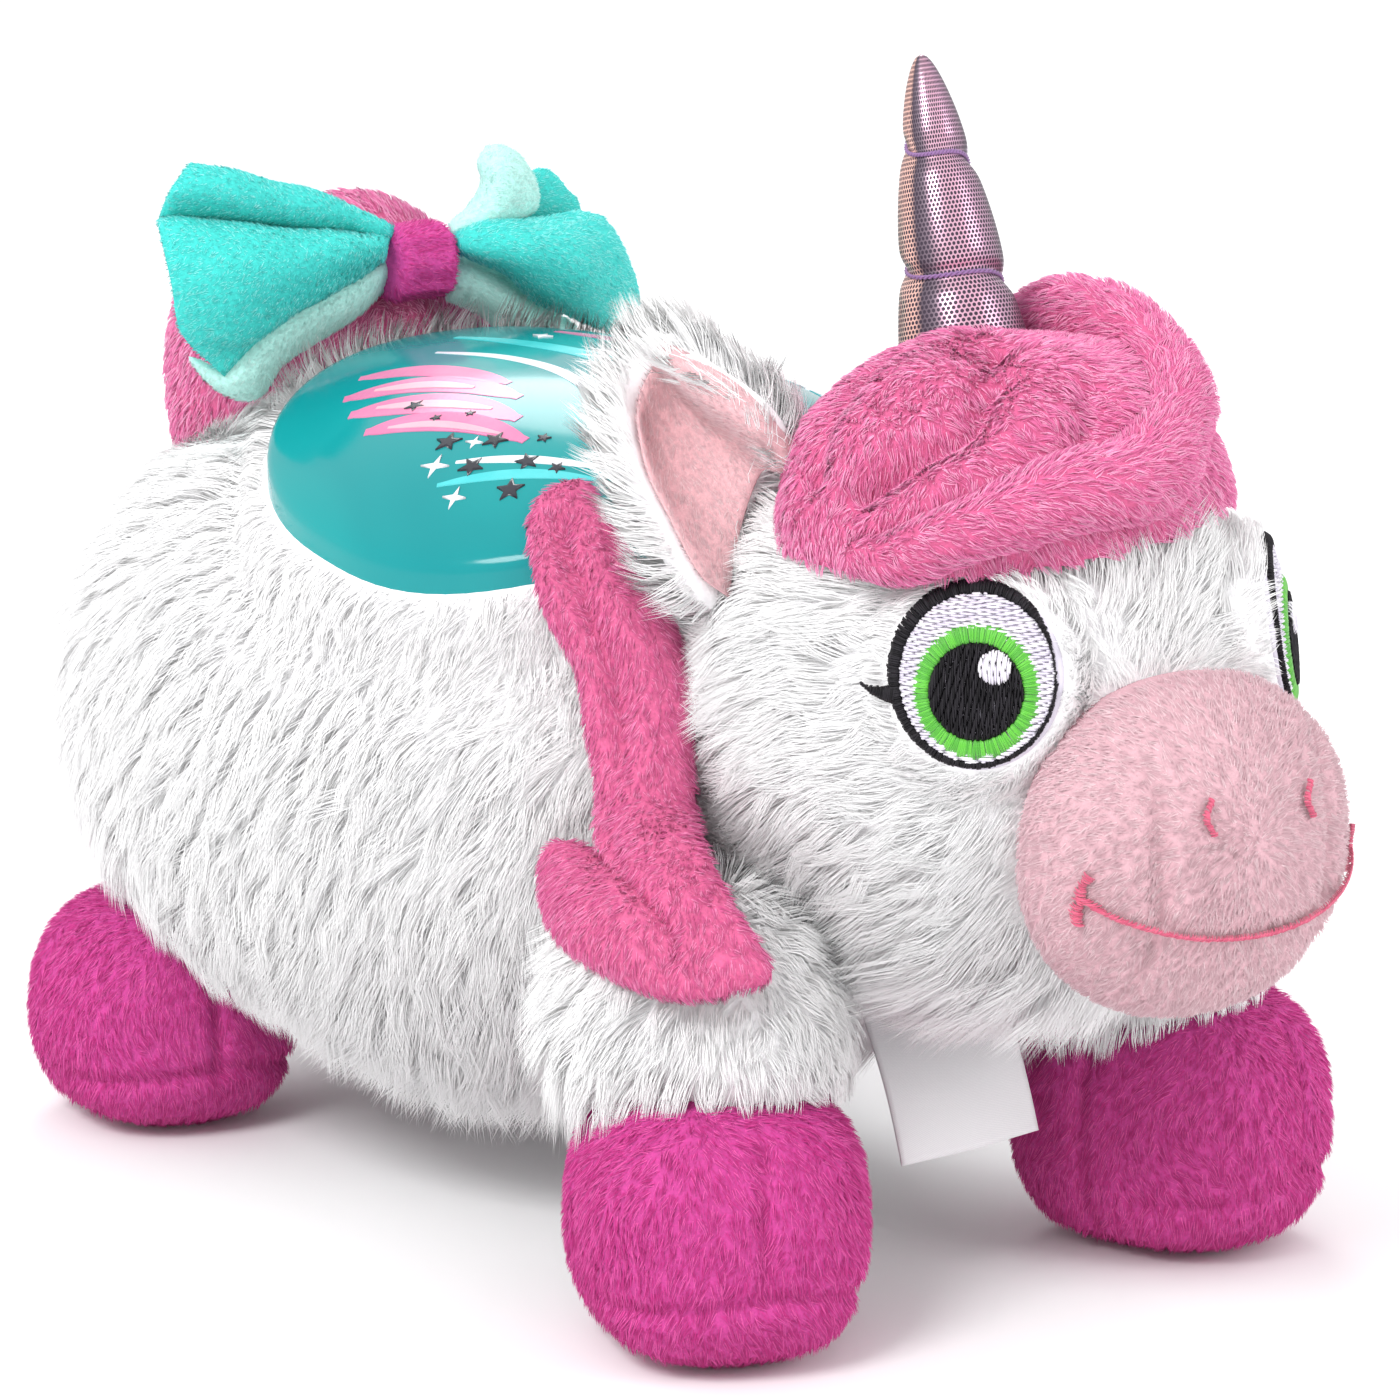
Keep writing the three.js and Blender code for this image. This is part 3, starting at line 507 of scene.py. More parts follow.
def strands(name, skin, body, slot, materials, density, length, width, comb, *,
            lift=(55, 5), clump=3.5, pull=0.5, rings=2, keep=None, reach=None, stray=14, seed=1):
    """Grows real strands on a skin, in tufts clump mm apart, density of them on each square mm.

    comb, keep (true or false) and reach (a share of the length) take places and the ways up there.
    The strands' shading directions follow the skin, so that the pile looks soft."""
    rng = np.random.default_rng(seed)
    root, up = scatter(skin, density, rng, keep)
    centre, centre_up = scatter(skin, 1 / clump ** 2, rng, keep)
    spine = strand_spines(root, up, centre, centre_up, comb, rng, length, lift, pull, rings, reach, stray)
    count = len(root)
    ahead = unit(spine[:, 1:] - spine[:, :-1])
    aside = unit(np.cross(np.concatenate([ahead[:, :1], ahead[:, :-1]], 1), up[:, None] + 1e-3))
    above = np.cross(aside, np.concatenate([ahead[:, :1], ahead[:, :-1]], 1))
    taper = 1 - 0.72 * np.arange(rings) / rings
    thick = width / 2 * rng.uniform(0.75, 1.2, count)[:, None] * taper[None]
    corners, facing = [], []
    for turn in around(STRAND_SIDES) + math.pi / 2:
        offset = math.cos(turn) * aside + math.sin(turn) * above
        corners.append(spine[:, :-1] + offset * thick[..., None])
        facing.append(unit(up[:, None] * SOFTNESS + offset * (1 - SOFTNESS)))
    corners = np.concatenate([np.stack(corners, 2).reshape(count, -1, 3), spine[:, -1:]], 1)
    facing = np.concatenate([np.stack(facing, 2).reshape(count, -1, 3), up[:, None]], 1)
    quads, tris = strand_faces(rings)
    shade = rng.integers(0, len(materials), count)
    order = np.argsort(root[:, 0], kind="stable")
    pieces = max(1, math.ceil(count / (MOST_FACES // (2 * len(quads) + len(tris)))))
    for i, chosen in enumerate(np.array_split(order, pieces), 1):
        offset = (np.arange(len(chosen)) * corners.shape[1])[:, None, None]
        faces = [(quads + offset).reshape(-1, 4), (tris + offset).reshape(-1, 3)]
        picks = np.concatenate([np.repeat(shade[chosen], len(quads)), np.repeat(shade[chosen], len(tris))])
        made = add_mesh(f"{name}_{i:02d}" if pieces > 1 else name, corners[chosen].reshape(-1, 3), faces,
                        materials, picks, facing=facing[chosen].reshape(-1, 3))
        finish_piece(made, body, slot)


def straight(*way):
    """A comb that is the same everywhere."""
    return lambda where, normal: np.broadcast_to(np.array(way, float), where.shape)


# ------------------------------------------------------------------ eyes' places on the head

def eye_axes(side):
    """The way an eye looks, its way forward along the head, and its way up."""
    lift, turn = math.radians(EYE["lift"]), math.radians(side * EYE["facing"])
    look = np.array([math.cos(lift) * math.cos(turn), math.cos(lift) * math.sin(turn), math.sin(lift)])
    forward = np.array([-math.sin(turn), math.cos(turn), 0]) * -side
    return look, forward, np.cross(look, forward) * -side


def eye_flat(points, side):
    """Where points lie in an eye's own flat picture: forward along the head, and up."""
    look, forward, up = eye_axes(side)
    rel = points - np.array(mirrored(EYE, side)["centre"])
    return rel @ forward, rel @ up, rel @ look


def on_head(u, v, side, off, shape=HEAD):
    """Points over an eye's flat picture, dropped on the head and raised by off mm."""
    look, forward, up = eye_axes(side)
    start = np.array(mirrored(EYE, side)["centre"]) + u[..., None] * forward + v[..., None] * up
    low, high = np.full(u.shape, -40.0), np.full(u.shape, 40.0)
    for _ in range(30):
        middle = (low + high) / 2
        out = inside(shape, start + middle[..., None] * look, off) > 1
        high, low = np.where(out, middle, high), np.where(out, low, middle)
    return start + middle[..., None] * look


def eye_share(points, side, grow=0.0):
    """Below 1 inside an eye's outline."""
    u, v, deep = eye_flat(points, side)
    share = np.hypot(u / (EYE["halves"][0] + grow), v / (EYE["halves"][1] + grow))
    return np.where(deep > -25, share, 9.0)


def nearest_eye(points, grow=0.0):
    return np.minimum(eye_share(points, -1, grow), eye_share(points, 1, grow))


# ------------------------------------------------------------------ body

def window_share(points, grow=0.0):
    """Below 1 inside the window's outline, on the top of the body."""
    x = np.abs((points[..., 0] - WINDOW["middle"]) / (WINDOW["half"][0] + grow))
    y = np.abs(points[..., 1] / (WINDOW["half"][1] + grow))
    share = (x ** WINDOW["power"] + y ** WINDOW["power"]) ** (1 / WINDOW["power"])
    return np.where(points[..., 2] > 110, share, 9.0)


def in_pocket(points, grow=0.0):
    """Whether points are in the belly's opening, which the flap closes."""
    along = np.abs(points[..., 0] - POCKET["middle"]) < POCKET["half"][0] + grow
    across = np.abs(points[..., 1]) < POCKET["half"][1] + grow
    return along & across & (points[..., 2] < POCKET["below"])


def body_comb(where, normal):
    """The body's pile hangs down and back, parts round the window and is brushed forward over the rump."""
    down = np.array([-0.35, 0, -1.0])
    away = unit(np.stack([where[:, 0] - WINDOW["middle"], where[:, 1] * 0.8, where[:, 0] * 0], -1))
    top = smoothstep(110, 165, where[:, 2])[:, None]
    swirl = waves(where, 55, 3)[:, None] * 0.35
    aside = np.cross(normal, down)
    way = down * (1 - top) + away * top + aside * swirl
    back = (smoothstep(-66, -82, where[:, 0]) * smoothstep(58, 34, np.abs(where[:, 1])))[:, None] * top
    return way * (1 - back) + np.array([1.0, 0, 0.4]) * back


def build_body():
    way, quads = ball(84)
    grow = PILE_ROOT + 0.8 * waves(way * 100, 60, 11)
    rim = 1 - smoothstep(1.0, 1.15, window_share(pad_point(BODY, way)))
    points = pad_point(BODY, way, grow * (1 - rim) + 1.2 * rim)
    centre = points[quads].mean(1)
    open_here = (window_share(centre, -1) < 1) | in_pocket(centre, -1) | (inside(HEAD, centre, -3) < 1)
    skin = quads[~open_here]
    add_piece("body_skin", closed_shell(points, skin), BACKING, "torso", "white_pile", ["body_cover"], 0.8)

    def keep(where, normal):
        hidden = (inside(HEAD, where, -4) < 1) | (window_share(where, 0.9) < 1) | in_pocket(where)
        for _, side in SIDES:
            for shape in (FRONT_HOOF, REAR_HOOF):
                hidden |= inside(mirrored(shape, side), where, -4) < 1
            hidden |= inside(mirrored(SLEEVE, side), where, -6) < 1
        return ~hidden

    def reach(where, normal):
        rim = smoothstep(1.0, 1.25, window_share(where, 0.9))
        rim = np.maximum(rim, smoothstep(-66, -82, where[:, 0]))
        belly = smoothstep(12, 40, where[:, 2])
        skirt = smoothstep(-70, 0, where[:, 0]) * smoothstep(66, 46, where[:, 2])
        skirt = skirt * smoothstep(20, 45, np.abs(where[:, 1]))
        return (0.5 + 0.5 * rim) * (0.65 + 0.35 * belly) * (1 + 0.9 * skirt)

    strands("body_pile", (points, skin), "torso", "white_pile", WHITE, 1.65, 14.5, 0.27, body_comb,
            keep=keep, reach=reach, clump=3.8, lift=(60, 4), seed=21, **LONG_PILE)


build_body()


# ------------------------------------------------------------------ head and muzzle

ROLL_PATH = [(76, 16, 183), (84, 22, 192), (97, 25, 193), (112, 26, 188), (127, 19, 180), (143, -2, 173),
             (143, -20, 171), (137, -36, 166), (127, -46, 160), (117, -50, 159)]
FORELOCK_BRIM = 163


def roll_shape():
    """The middle line of the forelock's rolled edge, and its radius along that line."""
    path = catmull(np.array(ROLL_PATH, float), 9)
    share = np.linspace(0, 1, len(path))
    radii = 2.2 + 6.2 * np.sin(math.pi * share ** 0.8).clip(0) ** 0.8
    return path, np.minimum(radii, 6 * np.sqrt(np.minimum(share, 1 - share) * 14 + 0.02))


def head_comb(where, normal):
    """The head's pile lies away from the nose."""
    from_nose = unit(where - np.array([160.0, 0.0, 112.0]))
    swirl = waves(where, 40, 5)[:, None] * 0.35
    way = from_nose + np.array([-0.3, 0, -0.45])
    return way + np.cross(normal, way) * swirl


def roll_near(points):
    """How far points are outside the forelock's roll."""
    path, radii = roll_shape()
    return (np.linalg.norm(points[:, None] - path[None], axis=2) - radii[None]).min(1)


def build_head():
    way, quads = ball(44)
    near_eye = nearest_eye(pad_point(HEAD, way), 3)
    grow = PILE_ROOT + 0.6 * waves(way * 60, 35, 12)
    raised = 1 - smoothstep(0.85, 1.25, near_eye)
    points = pad_point(HEAD, way, grow * (1 - raised) - 0.2 * raised)
    skin = quads[inside(MUZZLE, points[quads].mean(1), -5) > 1]
    add_piece("head_skin", closed_shell(points, skin), BACKING, "head", "white_pile", ["head_cover"], 0.8)

    def keep(where, normal):
        hidden = (inside(MUZZLE, where, -2.5) < 1) | (nearest_eye(where, 0.1) < 1) | (roll_near(where) < 0.5)
        brim = FORELOCK_BRIM + 0.1 * where[:, 1] + 1
        return ~(hidden | ((inside(FORELOCK, where, 1.5) < 1) & (where[:, 2] > brim)))

    def reach(where, normal):
        nose = smoothstep(0.95, 1.5, inside(MUZZLE, where))
        chin = smoothstep(96, 76, where[:, 2])
        cheek = smoothstep(112, 74, where[:, 0]) * smoothstep(160, 130, where[:, 2])
        eye = 0.42 + 0.58 * smoothstep(1.0, 1.7, nearest_eye(where))
        return eye * (0.55 + 0.45 * np.maximum(nose, chin)) * (1 + np.maximum(1.1 * chin, 0.7 * cheek))

    strands("head_pile", (points, skin), "head", "white_pile", WHITE, 2.0, 12.0, 0.26, head_comb,
            keep=keep, reach=reach, clump=3.6, lift=(60, 6), seed=22, **LONG_PILE)


MUZZLE_SEAM = [
    (156.5, -26.8, 130.6), (162.2, -24.5, 128.7), (166.4, -21.8, 125.2), (168.9, -20.9, 119.7),
    (169.9, -21, 114.7), (170.3, -21.4, 107.6), (169.7, -20.7, 95.5), (164.3, -22.5, 83.8),
    (159.4, -22.8, 79.2),
]


def build_muzzle():
    way, quads = ball(56)
    points = pad_point(MUZZLE, way, -1.4)
    outward = normals_of(points, quads)
    for _, side in SIDES:
        points = crease(points, outward, [(x + 4, -side * y, z - 1) for x, y, z in MUZZLE_SEAM], 2.3, 3.0)
    skin = quads[inside(HEAD, points[quads].mean(1), -6) > 1]
    shell = closed_shell(points, skin)
    add_piece("muzzle_skin", shell, BLUSH_CLOTH, "head", "muzzle_pile", ["muzzle_cover"], 0.9)
    strands("muzzle_pile", (points, skin), "head", "muzzle_pile", BLUSH, 2.6, 1.9, 0.26,
            lambda where, normal: unit(where - np.array([175.0, 0, 108.0])) + [0, 0, -0.3],
            keep=lambda where, normal: inside(HEAD, where, -1) > 1, clump=1.6, seed=31, **SHORT_PILE)


build_head()
build_muzzle()


# ------------------------------------------------------------------ legs


HOOF_SEAMS = [
    [(1, 0.05, 0.9), (1, 0.0, 0.4), (1, 0.0, 0.0), (1, 0.0, -0.3)],
    [(0.2, -1, -0.45), (0.7, -0.7, -0.36), (1, 0.0, -0.28), (0.7, 0.7, -0.36), (0.2, 1, -0.45)],
    [(-0.2, -1, 0.9), (-0.2, -1, 0.3), (-0.2, -1, -0.3), (-0.2, -1, -0.8)],
    [(-0.2, 1, 0.9), (-0.2, 1, 0.3), (-0.2, 1, -0.3), (-0.2, 1, -0.8)],
]


SOLE_EDGE, SOLE_PRESS = 5, 4.4


def build_leg(end, hoof, side_name, side):
    """A stuffed hoof, creased along its seams and pressed flat where it stands."""
    name = f"{end}_{side_name}_hoof"
    way, quads = ball(44)
    local = {**hoof, "centre": (0, 0, 0)}
    points = pad_point(local, way, -1.2)
    outward = normals_of(points, quads)
    for seam in HOOF_SEAMS:
        points = crease(points, outward, pad_point(local, unit(np.array(seam, float)), -1.2), 1.8, 1.6)
    points = points + outward * (0.5 * waves(points + 40 * side, 26, 7))[:, None]
    points = turn_z(points, side * hoof["splay"]) + np.array(mirrored(hoof, side)["centre"])
    height = points[:, 2]
    pressed = SOLE_EDGE - SOLE_PRESS * smoothstep(0, 9, SOLE_EDGE - height)
    points[:, 2] = np.where(height < SOLE_EDGE, pressed, height)
    skin = quads[inside(BODY, points[quads].mean(1), -6) > 1]
    add_piece(name, closed_shell(points, skin), MAGENTA_CLOTH, "torso", "magenta_pile",
              [f"{name}_cover", f"{name}_sole"], 0.85)
    strands(f"{name}_pile", (points, skin), "torso", "magenta_pile", MAGENTA, 2.3, 2.6, 0.24,
            lambda where, normal: np.array([0, 0, -1.0]) + 0.3 * waves(where, 30, 8)[:, None],
            keep=lambda where, normal: (where[:, 2] > 1.5) & (inside(BODY, where, -3) > 1),
            clump=1.9, seed=40 + side + len(end), **SHORT_PILE)


def build_sleeve(side_name, side):
    """The furry upper part of a front leg, between the body and the hoof."""
    name = f"front_{side_name}_sleeve"
    shape = mirrored(SLEEVE, side)
    way, quads = ball(26)
    points = pad_point(shape, way, PILE_ROOT)
    centre = points[quads].mean(1)
    hoof = mirrored(FRONT_HOOF, side)
    free = (inside(BODY, centre, -7) > 1) & (inside(HEAD, centre, -2) > 1) & (inside(hoof, centre, -3) > 1)
    skin = quads[free]
    add_piece(f"{name}_skin", closed_shell(points, skin), BACKING, "torso", "white_pile", [name], 0.8)

    def reach(where, normal):
        ahead = where[:, 0] - shape["centre"][0]
        return 1 + 0.7 * smoothstep(8, -26, ahead) - 0.45 * smoothstep(4, 28, ahead)

    strands(f"{name}_pile", (points, skin), "torso", "white_pile", WHITE, 1.8, 14, 0.26,
            straight(-0.1, 0, -1), reach=reach, clump=3.8, lift=(60, 2), seed=52 + side, **LONG_PILE)


for side_name, side in SIDES:
    build_leg("front", FRONT_HOOF, side_name, side)
    build_leg("rear", REAR_HOOF, side_name, side)
    build_sleeve(side_name, side)


# ------------------------------------------------------------------ stuffed shapes made from nets


def flipped(controls, side):
    """Control points for the right side, or the same ones on the left with the net's order kept outward."""
    grid = np.array(controls, float)
    if side > 0:
        grid = grid * [1, -1, 1]
        grid = grid[:, ::-1]
    return grid


def stuffed(name, controls, thick, body, slot, material, pile, comb, *,
            density, length, width, seed, clump=1.9, steps=6, replaced=(), folds=()):
    """A stuffed form round a net of control points, with short pile all over it."""
    points, quads = pillow(net(controls, steps), thick, 0.8, 1.0)
    outward = normals_of(points, quads)
    points = points + outward * (0.35 * waves(points, 14, seed))[:, None]
    for path, wide, deep in folds:
        points = crease(points, outward, path, wide, deep)
    add_piece(f"{name}_cloth", (points, quads), material, body, slot, replaced, 0.6)
    strands(f"{name}_pile", (points, quads), body, slot, pile, density, length, width, comb,
            clump=clump, seed=seed, **SHORT_PILE)


MANE_TOP = [
    [(15, -44, 155), (16, -42, 156), (18, -40, 157), (20, -38, 156)],
    [(14, -48, 151), (20, -45, 152), (26, -43, 151), (32, -40, 149)],
    [(21, -54, 145), (30, -50, 145), (38, -46, 142), (45, -41, 139)],
    [(32, -58, 135), (40, -54, 136), (47, -49, 135), (54, -42, 132)],
    [(43, -58, 124), (49, -55, 124), (55, -50, 124), (62, -44, 122)],
    [(48, -59, 114), (55, -57, 114), (61, -54, 113), (68, -49, 112)],
    [(53, -60, 104), (60, -60, 104), (68, -58, 103), (76, -54, 102)],
    [(60, -64, 96), (70, -68, 96), (80, -67, 97), (90, -62, 98)],
    [(76, -74, 90), (86, -75, 90), (96, -71, 91), (104, -65, 90)],
    [(90, -79, 82), (100, -77, 82), (107, -71, 82), (112, -64, 82)],
    [(101, -79, 78), (106, -75, 78), (110, -70, 78), (113, -66, 79)],
]
MANE_CURL = [
    [(45, -66, 91), (44, -66, 90), (44, -66, 88), (44, -67, 86)],
    [(48, -66, 93), (48, -67, 90), (47, -67, 86), (46, -67, 82)],
    [(54, -65, 93), (55, -68, 89), (54, -70, 84), (53, -70, 79)],
    [(64, -67, 93), (65, -72, 88), (65, -75, 82), (63, -75, 78)],
    [(75, -71, 93), (77, -76, 88), (78, -79, 82), (78, -79, 77)],
    [(87, -73, 91), (89, -78, 86), (91, -80, 81), (91, -80, 76)],
    [(98, -72, 87), (100, -76, 83), (102, -78, 79), (102, -78, 76)],
    [(107, -68, 83), (109, -71, 81), (110, -72, 79), (110, -73, 77)],
]

MANE_FOLDS = [
    ([(25, -50, 152), (36, -54, 144), (45, -57, 136), (54, -58, 124), (60, -62, 113)], 3.4, 3.4),
    ([(62, -67, 106), (70, -72, 99), (84, -78, 94), (98, -80, 88)], 3.2, 3.0),
]


def build_mane(side_name, side):
    """The wavy lock on one side of the neck, and the curl in front of its end."""
    def comb(where, normal):
        return np.array([0.25, 0, -1.0]) + 0.35 * waves(where, 26, 9)[:, None] * np.array([1.0, 0, 0.2])

    folds = [([(x, -side * y, z) for x, y, z in path], wide, deep) for path, wide, deep in MANE_FOLDS]
    parts = [("lock", MANE_TOP, 61, dict(replaced=[f"{side_name}_mane_lock"], folds=folds)),
             ("curl", MANE_CURL, 64, {})]
    for part, controls, seed, settings in parts:
        stuffed(f"{side_name}_mane_{part}", flipped(controls, side), 8.5, "torso", "pink_pile", PINK_CLOTH,
                MANE_PINK_PAINTED_SHADE, comb, seed=seed + side, length=2.4, density=3.0, width=0.21, **settings)


for side_name, side in SIDES:
    build_mane(side_name, side)


# ------------------------------------------------------------------ ears

EAR_NET = [
    [(88, -36, 171), (85, -40, 169), (75, -38, 167), (73, -42, 155), (77, -48, 143)],
    [(82, -42, 182), (83, -46, 177), (68, -41, 172), (69, -46, 160), (76, -54, 148)],
    [(77, -47, 188), (77, -52, 183), (63, -44, 177), (64, -50, 167), (72, -57, 158)],
    [(70, -51, 191), (70, -54, 187), (60, -47, 182), (61, -53, 174), (67, -59, 168)],
    [(64, -53, 192), (64, -55, 190), (59, -53, 188), (59, -55, 185), (62, -58, 181)],
]
EAR_ROOT = np.array([80.0, -45.0, 164.0])
EAR_SCALE = 1.05
LEFT_EAR_BACK = 62


def ear_net(side):
    """An ear's inner face. The left one is the right one mirrored, laid back and a little smaller."""
    grid = EAR_ROOT + (np.array(EAR_NET, float) - EAR_ROOT) * EAR_SCALE
    if side < 0:
        return grid
    c, s = math.cos(math.radians(LEFT_EAR_BACK)), math.sin(math.radians(LEFT_EAR_BACK))
    x, y, z = np.moveaxis(grid - EAR_ROOT, -1, 0)
    laid_back = np.stack([x * c - z * s, y, x * s + z * c], -1) * 0.9
    return ((laid_back + EAR_ROOT) * [1, -1, 1])[:, ::-1]


def build_ear(side_name, side):
    body = f"{side_name}_ear"
    fine = net(ear_net(side), 6)
    rows, columns = fine.shape[:2]
    flat = fine.reshape(-1, 3)
    out = normals_of(flat, grid_quads(rows, columns))
    inward = out if ((out @ np.array([1.0, side * 0.4, 0])).mean() > 0) else -out
    shell = pillow((flat - inward * 3.2).reshape(rows, columns, 3), 6.5, 1.5)
    add_piece(f"{body}_shell", shell, BACKING, body, "white_pile", [f"{body}_back"], 0.5)
    root, tip = fine[0].mean(0), fine[-1].mean(0)
    heart = root + (tip - root) * 0.45
    cup = nearest_in(flat)
    strands(f"{body}_pile", shell, body, "white_pile", WHITE, 2.6, 12.5, 0.25,
            lambda where, normal: unit(where - heart) * 0.8 + unit(tip - root) * 0.9,
            keep=lambda where, normal: (normal * inward[cup(where)]).sum(-1) < 0.8,
            lift=(52, 8), clump=3.4, seed=70 + side)
    lining = (flat + inward * 0.4).reshape(rows, columns, 3)
    lining = lining[:int(rows * 0.95), int(columns * 0.08):int(columns * 0.92) + 1]
    shape = pillow(lining, 1.4, 0.5)
    add_piece(f"{body}_lining_cloth", shape, LINING_CLOTH, body, "ear_lining", [f"{body}_lining"], 0.3)
    strands(f"{body}_lining_pile", shape, body, "ear_lining", LINING, 3.2, 1.4, 0.18,
            straight(*(tip - root)), clump=1.5, seed=73 + side, **FINE_PILE)


for side_name, side in SIDES:
    build_ear(side_name, side)


# ------------------------------------------------------------------ forelock

CAP_CREASES = [
    ([(94, -24, 193), (95, -34, 189), (97, -44, 181), (100, -49, 172)], 4.2, 7.0),
    ([(124, -22, 192), (129, -32, 185), (124, -42, 179), (114, -49, 170)], 4.2, 7.0),
    ([(113, -12, 196), (119, -19, 194), (127, -27, 188)], 3.0, 4.5),
    ([(132, -4, 190), (138, -8, 186), (141, -14, 181)], 3.4, 3.5),
]

HORN_ROOT, HORN_LENGTH, HORN_RADIUS, HORN_LEAN = np.array([89.0, 0, 189]), 57.0, 11.9, 14
FORELOCK_PILE = dict(density=3.4, length=2.8, width=0.2, clump=2.2, lift=(45, 8))


def build_cap():
    """The padded cap of the forelock, creased where its panels meet, with the horn's hole in its pile."""
    way, quads = ball(48)
    points = pad_point(FORELOCK, way, -1.5)
    outward = normals_of(points, quads)
    for path, wide, deep in CAP_CREASES:
        points = crease(points, outward, path, wide, deep)
    points = points + outward * (0.9 * waves(points, 24, 17))[:, None]
    centre = points[quads].mean(1)
    above = centre[:, 2] - (FORELOCK_BRIM + 0.1 * centre[:, 1])
    skin = quads[(above > -3) & (inside(HEAD, centre, -6) > 1)]
    shell = closed_shell(points, skin)
    add_piece("forelock_cap_cloth", shell, PINK_CLOTH, "head", "pink_pile", ["forelock_cap"], 0.8)

    def comb(where, normal):
        away = unit(where - np.array([104.0, -6, 200]))
        return away + np.cross(normal, away) * (0.5 + 0.4 * waves(where, 30, 19))[:, None]

    def keep(where, normal):
        from_horn = np.hypot(where[:, 0] - HORN_ROOT[0] + 2, where[:, 1])
        return (inside(HEAD, where, -3) > 1) & (from_horn > 9.5)

    strands("forelock_cap_pile", (points, skin), "head", "pink_pile", PINK, comb=comb, keep=keep, seed=81,
            **FORELOCK_PILE)


def build_roll():
    """The thick rolled edge that sweeps round the forelock."""
    path, radii = roll_shape()
    points, faces = tube(path, radii, 26)
    points = points + normals_of(points, faces[0]) * (0.6 * waves(points, 20, 23))[:, None]
    add_piece("forelock_roll_cloth", (points, faces), PINK_CLOTH, "head", "pink_pile", ["forelock_roll"], 0.8)
    tangent = unit(np.gradient(path, axis=0))
    track = nearest_in(path)
    strands("forelock_roll_pile", (points, faces[0]), "head", "pink_pile", PINK,
            comb=lambda where, normal: tangent[track(where)] * -0.8 + np.array([0, 0, -0.5]),
            keep=lambda where, normal: inside(HEAD, where, -3) > 1, seed=82, **FORELOCK_PILE)


build_cap()
build_roll()


# ------------------------------------------------------------------ horn

THREAD_FACING, THREAD_FIRST, THREAD_PITCH, THREAD_LEVEL = math.radians(-37), 37.6, 23.4, 3.75
THREAD_ABOVE, THREAD_BELOW = 0.45, 1.45
THREAD_LILAC = plain("thread_lilac", (0.24, 0.12, 0.30), 0.5, Sheen_Weight=0.3)
FOIL_DOTS = 72.0
# Colours round the horn: the foil's own pink and lilac, with a peach band painted in as reflected light and
# dark bands painted in as reflections.
FOIL_TONES_AND_PAINTED_REFLECTIONS = [
    (0.0, (0.55, 0.33, 0.45)), (0.06, (0.42, 0.27, 0.36)), (0.12, (0.13, 0.10, 0.13)),
    (0.17, (0.50, 0.36, 0.50)), (0.40, (0.50, 0.36, 0.46)), (0.62, (0.78, 0.47, 0.40)),
    (0.765, (0.86, 0.52, 0.45)), (0.79, (0.12, 0.09, 0.12)), (0.83, (0.20, 0.15, 0.19)),
    (0.87, (0.62, 0.38, 0.48)), (0.95, (0.66, 0.38, 0.50)), (1.0, (0.55, 0.33, 0.45)),
]


def thread_height(turns):
    """The thread's height on the horn, a number of turns after it first crosses the front."""
    return THREAD_FIRST - turns * THREAD_PITCH + THREAD_LEVEL * np.sin(turns * 2 * math.pi)


def horn_place(points):
    """Places on the leaning horn, from places on an upright one."""
    x, y, z = np.moveaxis(points, -1, 0)
    c, s = math.cos(math.radians(HORN_LEAN)), math.sin(math.radians(HORN_LEAN))
    return np.stack([x * c - z * s, y, x * s + z * c], -1) + HORN_ROOT


def horn_radius(turn, height):
    """The horn's radius where its thread pulls it in."""
    radius = HORN_RADIUS * np.clip(1 - height / HORN_LENGTH, 0, 1) ** 0.56
    part = ((turn - THREAD_FACING) / (2 * math.pi) + 0.5) % 1 - 0.5
    off = np.full(np.shape(height), 1e9)
    for lap in (-1, 0, 1, 2):
        turns = part + lap
        there = (turns >= -THREAD_ABOVE) & (turns <= THREAD_BELOW)
        off = np.where(there, np.minimum(off, np.abs(height - thread_height(turns))), off)
    share = radius / HORN_RADIUS
    pinch = 1.6 * np.exp(-(off / 2.4) ** 2)
    swell = 0.7 * np.sin(math.pi * np.clip(off / THREAD_PITCH, 0, 0.5))
    return np.maximum(radius + (swell - pinch) * share ** 0.6, 0.02)


def lay_cloth(made, turn, height, quad_count):
    """Dots round the horn and millimetres up it as a map, kept whole in faces that cross its first angle."""
    corners = np.zeros(len(made.data.loops), np.int32)
    made.data.loops.foreach_get("vertex_index", corners)
    across = np.append(turn / (2 * math.pi) * FOIL_DOTS, [0, 0])[corners]
    upward = np.append(height, [-1, HORN_LENGTH])[corners]
    faces = across[:quad_count * 4].reshape(-1, 4)
    cut = np.ptp(faces, axis=1, keepdims=True) > FOIL_DOTS / 2
    faces += np.where(cut & (faces < FOIL_DOTS / 2), FOIL_DOTS, 0.0)
    layer = made.data.uv_layers.new(name="cloth")
    layer.data.foreach_set("uv", np.stack([across, upward], -1).astype(np.float32).ravel())


def build_horn():
    turn, height = np.meshgrid(around(64), np.linspace(-1, HORN_LENGTH, 90))
    radius = horn_radius(turn, height)
    rings = np.stack([radius * np.cos(turn), radius * np.sin(turn), height], -1)
    points, faces = stacked(rings, (0, 0, -1), (0, 0, HORN_LENGTH), turned=True)
    made = add_piece("horn_foil", (horn_place(points), faces), foil_material(), "horn", "horn_foil",
                     ["horn_cover"], 0.8)
    lay_cloth(made, turn, height, len(faces[0]))
    share = np.linspace(0, 1, 200)
    turns = -THREAD_ABOVE + (THREAD_ABOVE + THREAD_BELOW) * share
    angle = THREAD_FACING + turns * 2 * math.pi
    up = thread_height(turns)
    for strand in (0, 1):
        twist = share * 300 + strand * math.pi
        reach = horn_radius(angle, up) + 0.28 + 0.22 * np.cos(twist)
        path = np.stack([reach * np.cos(angle), reach * np.sin(angle), up + 0.3 * np.sin(twist)], -1)
        add_piece(f"horn_thread_{strand + 1}", tube(horn_place(path), 0.26, 6), THREAD_LILAC, "horn",
                  "horn_thread", ["horn_thread"])


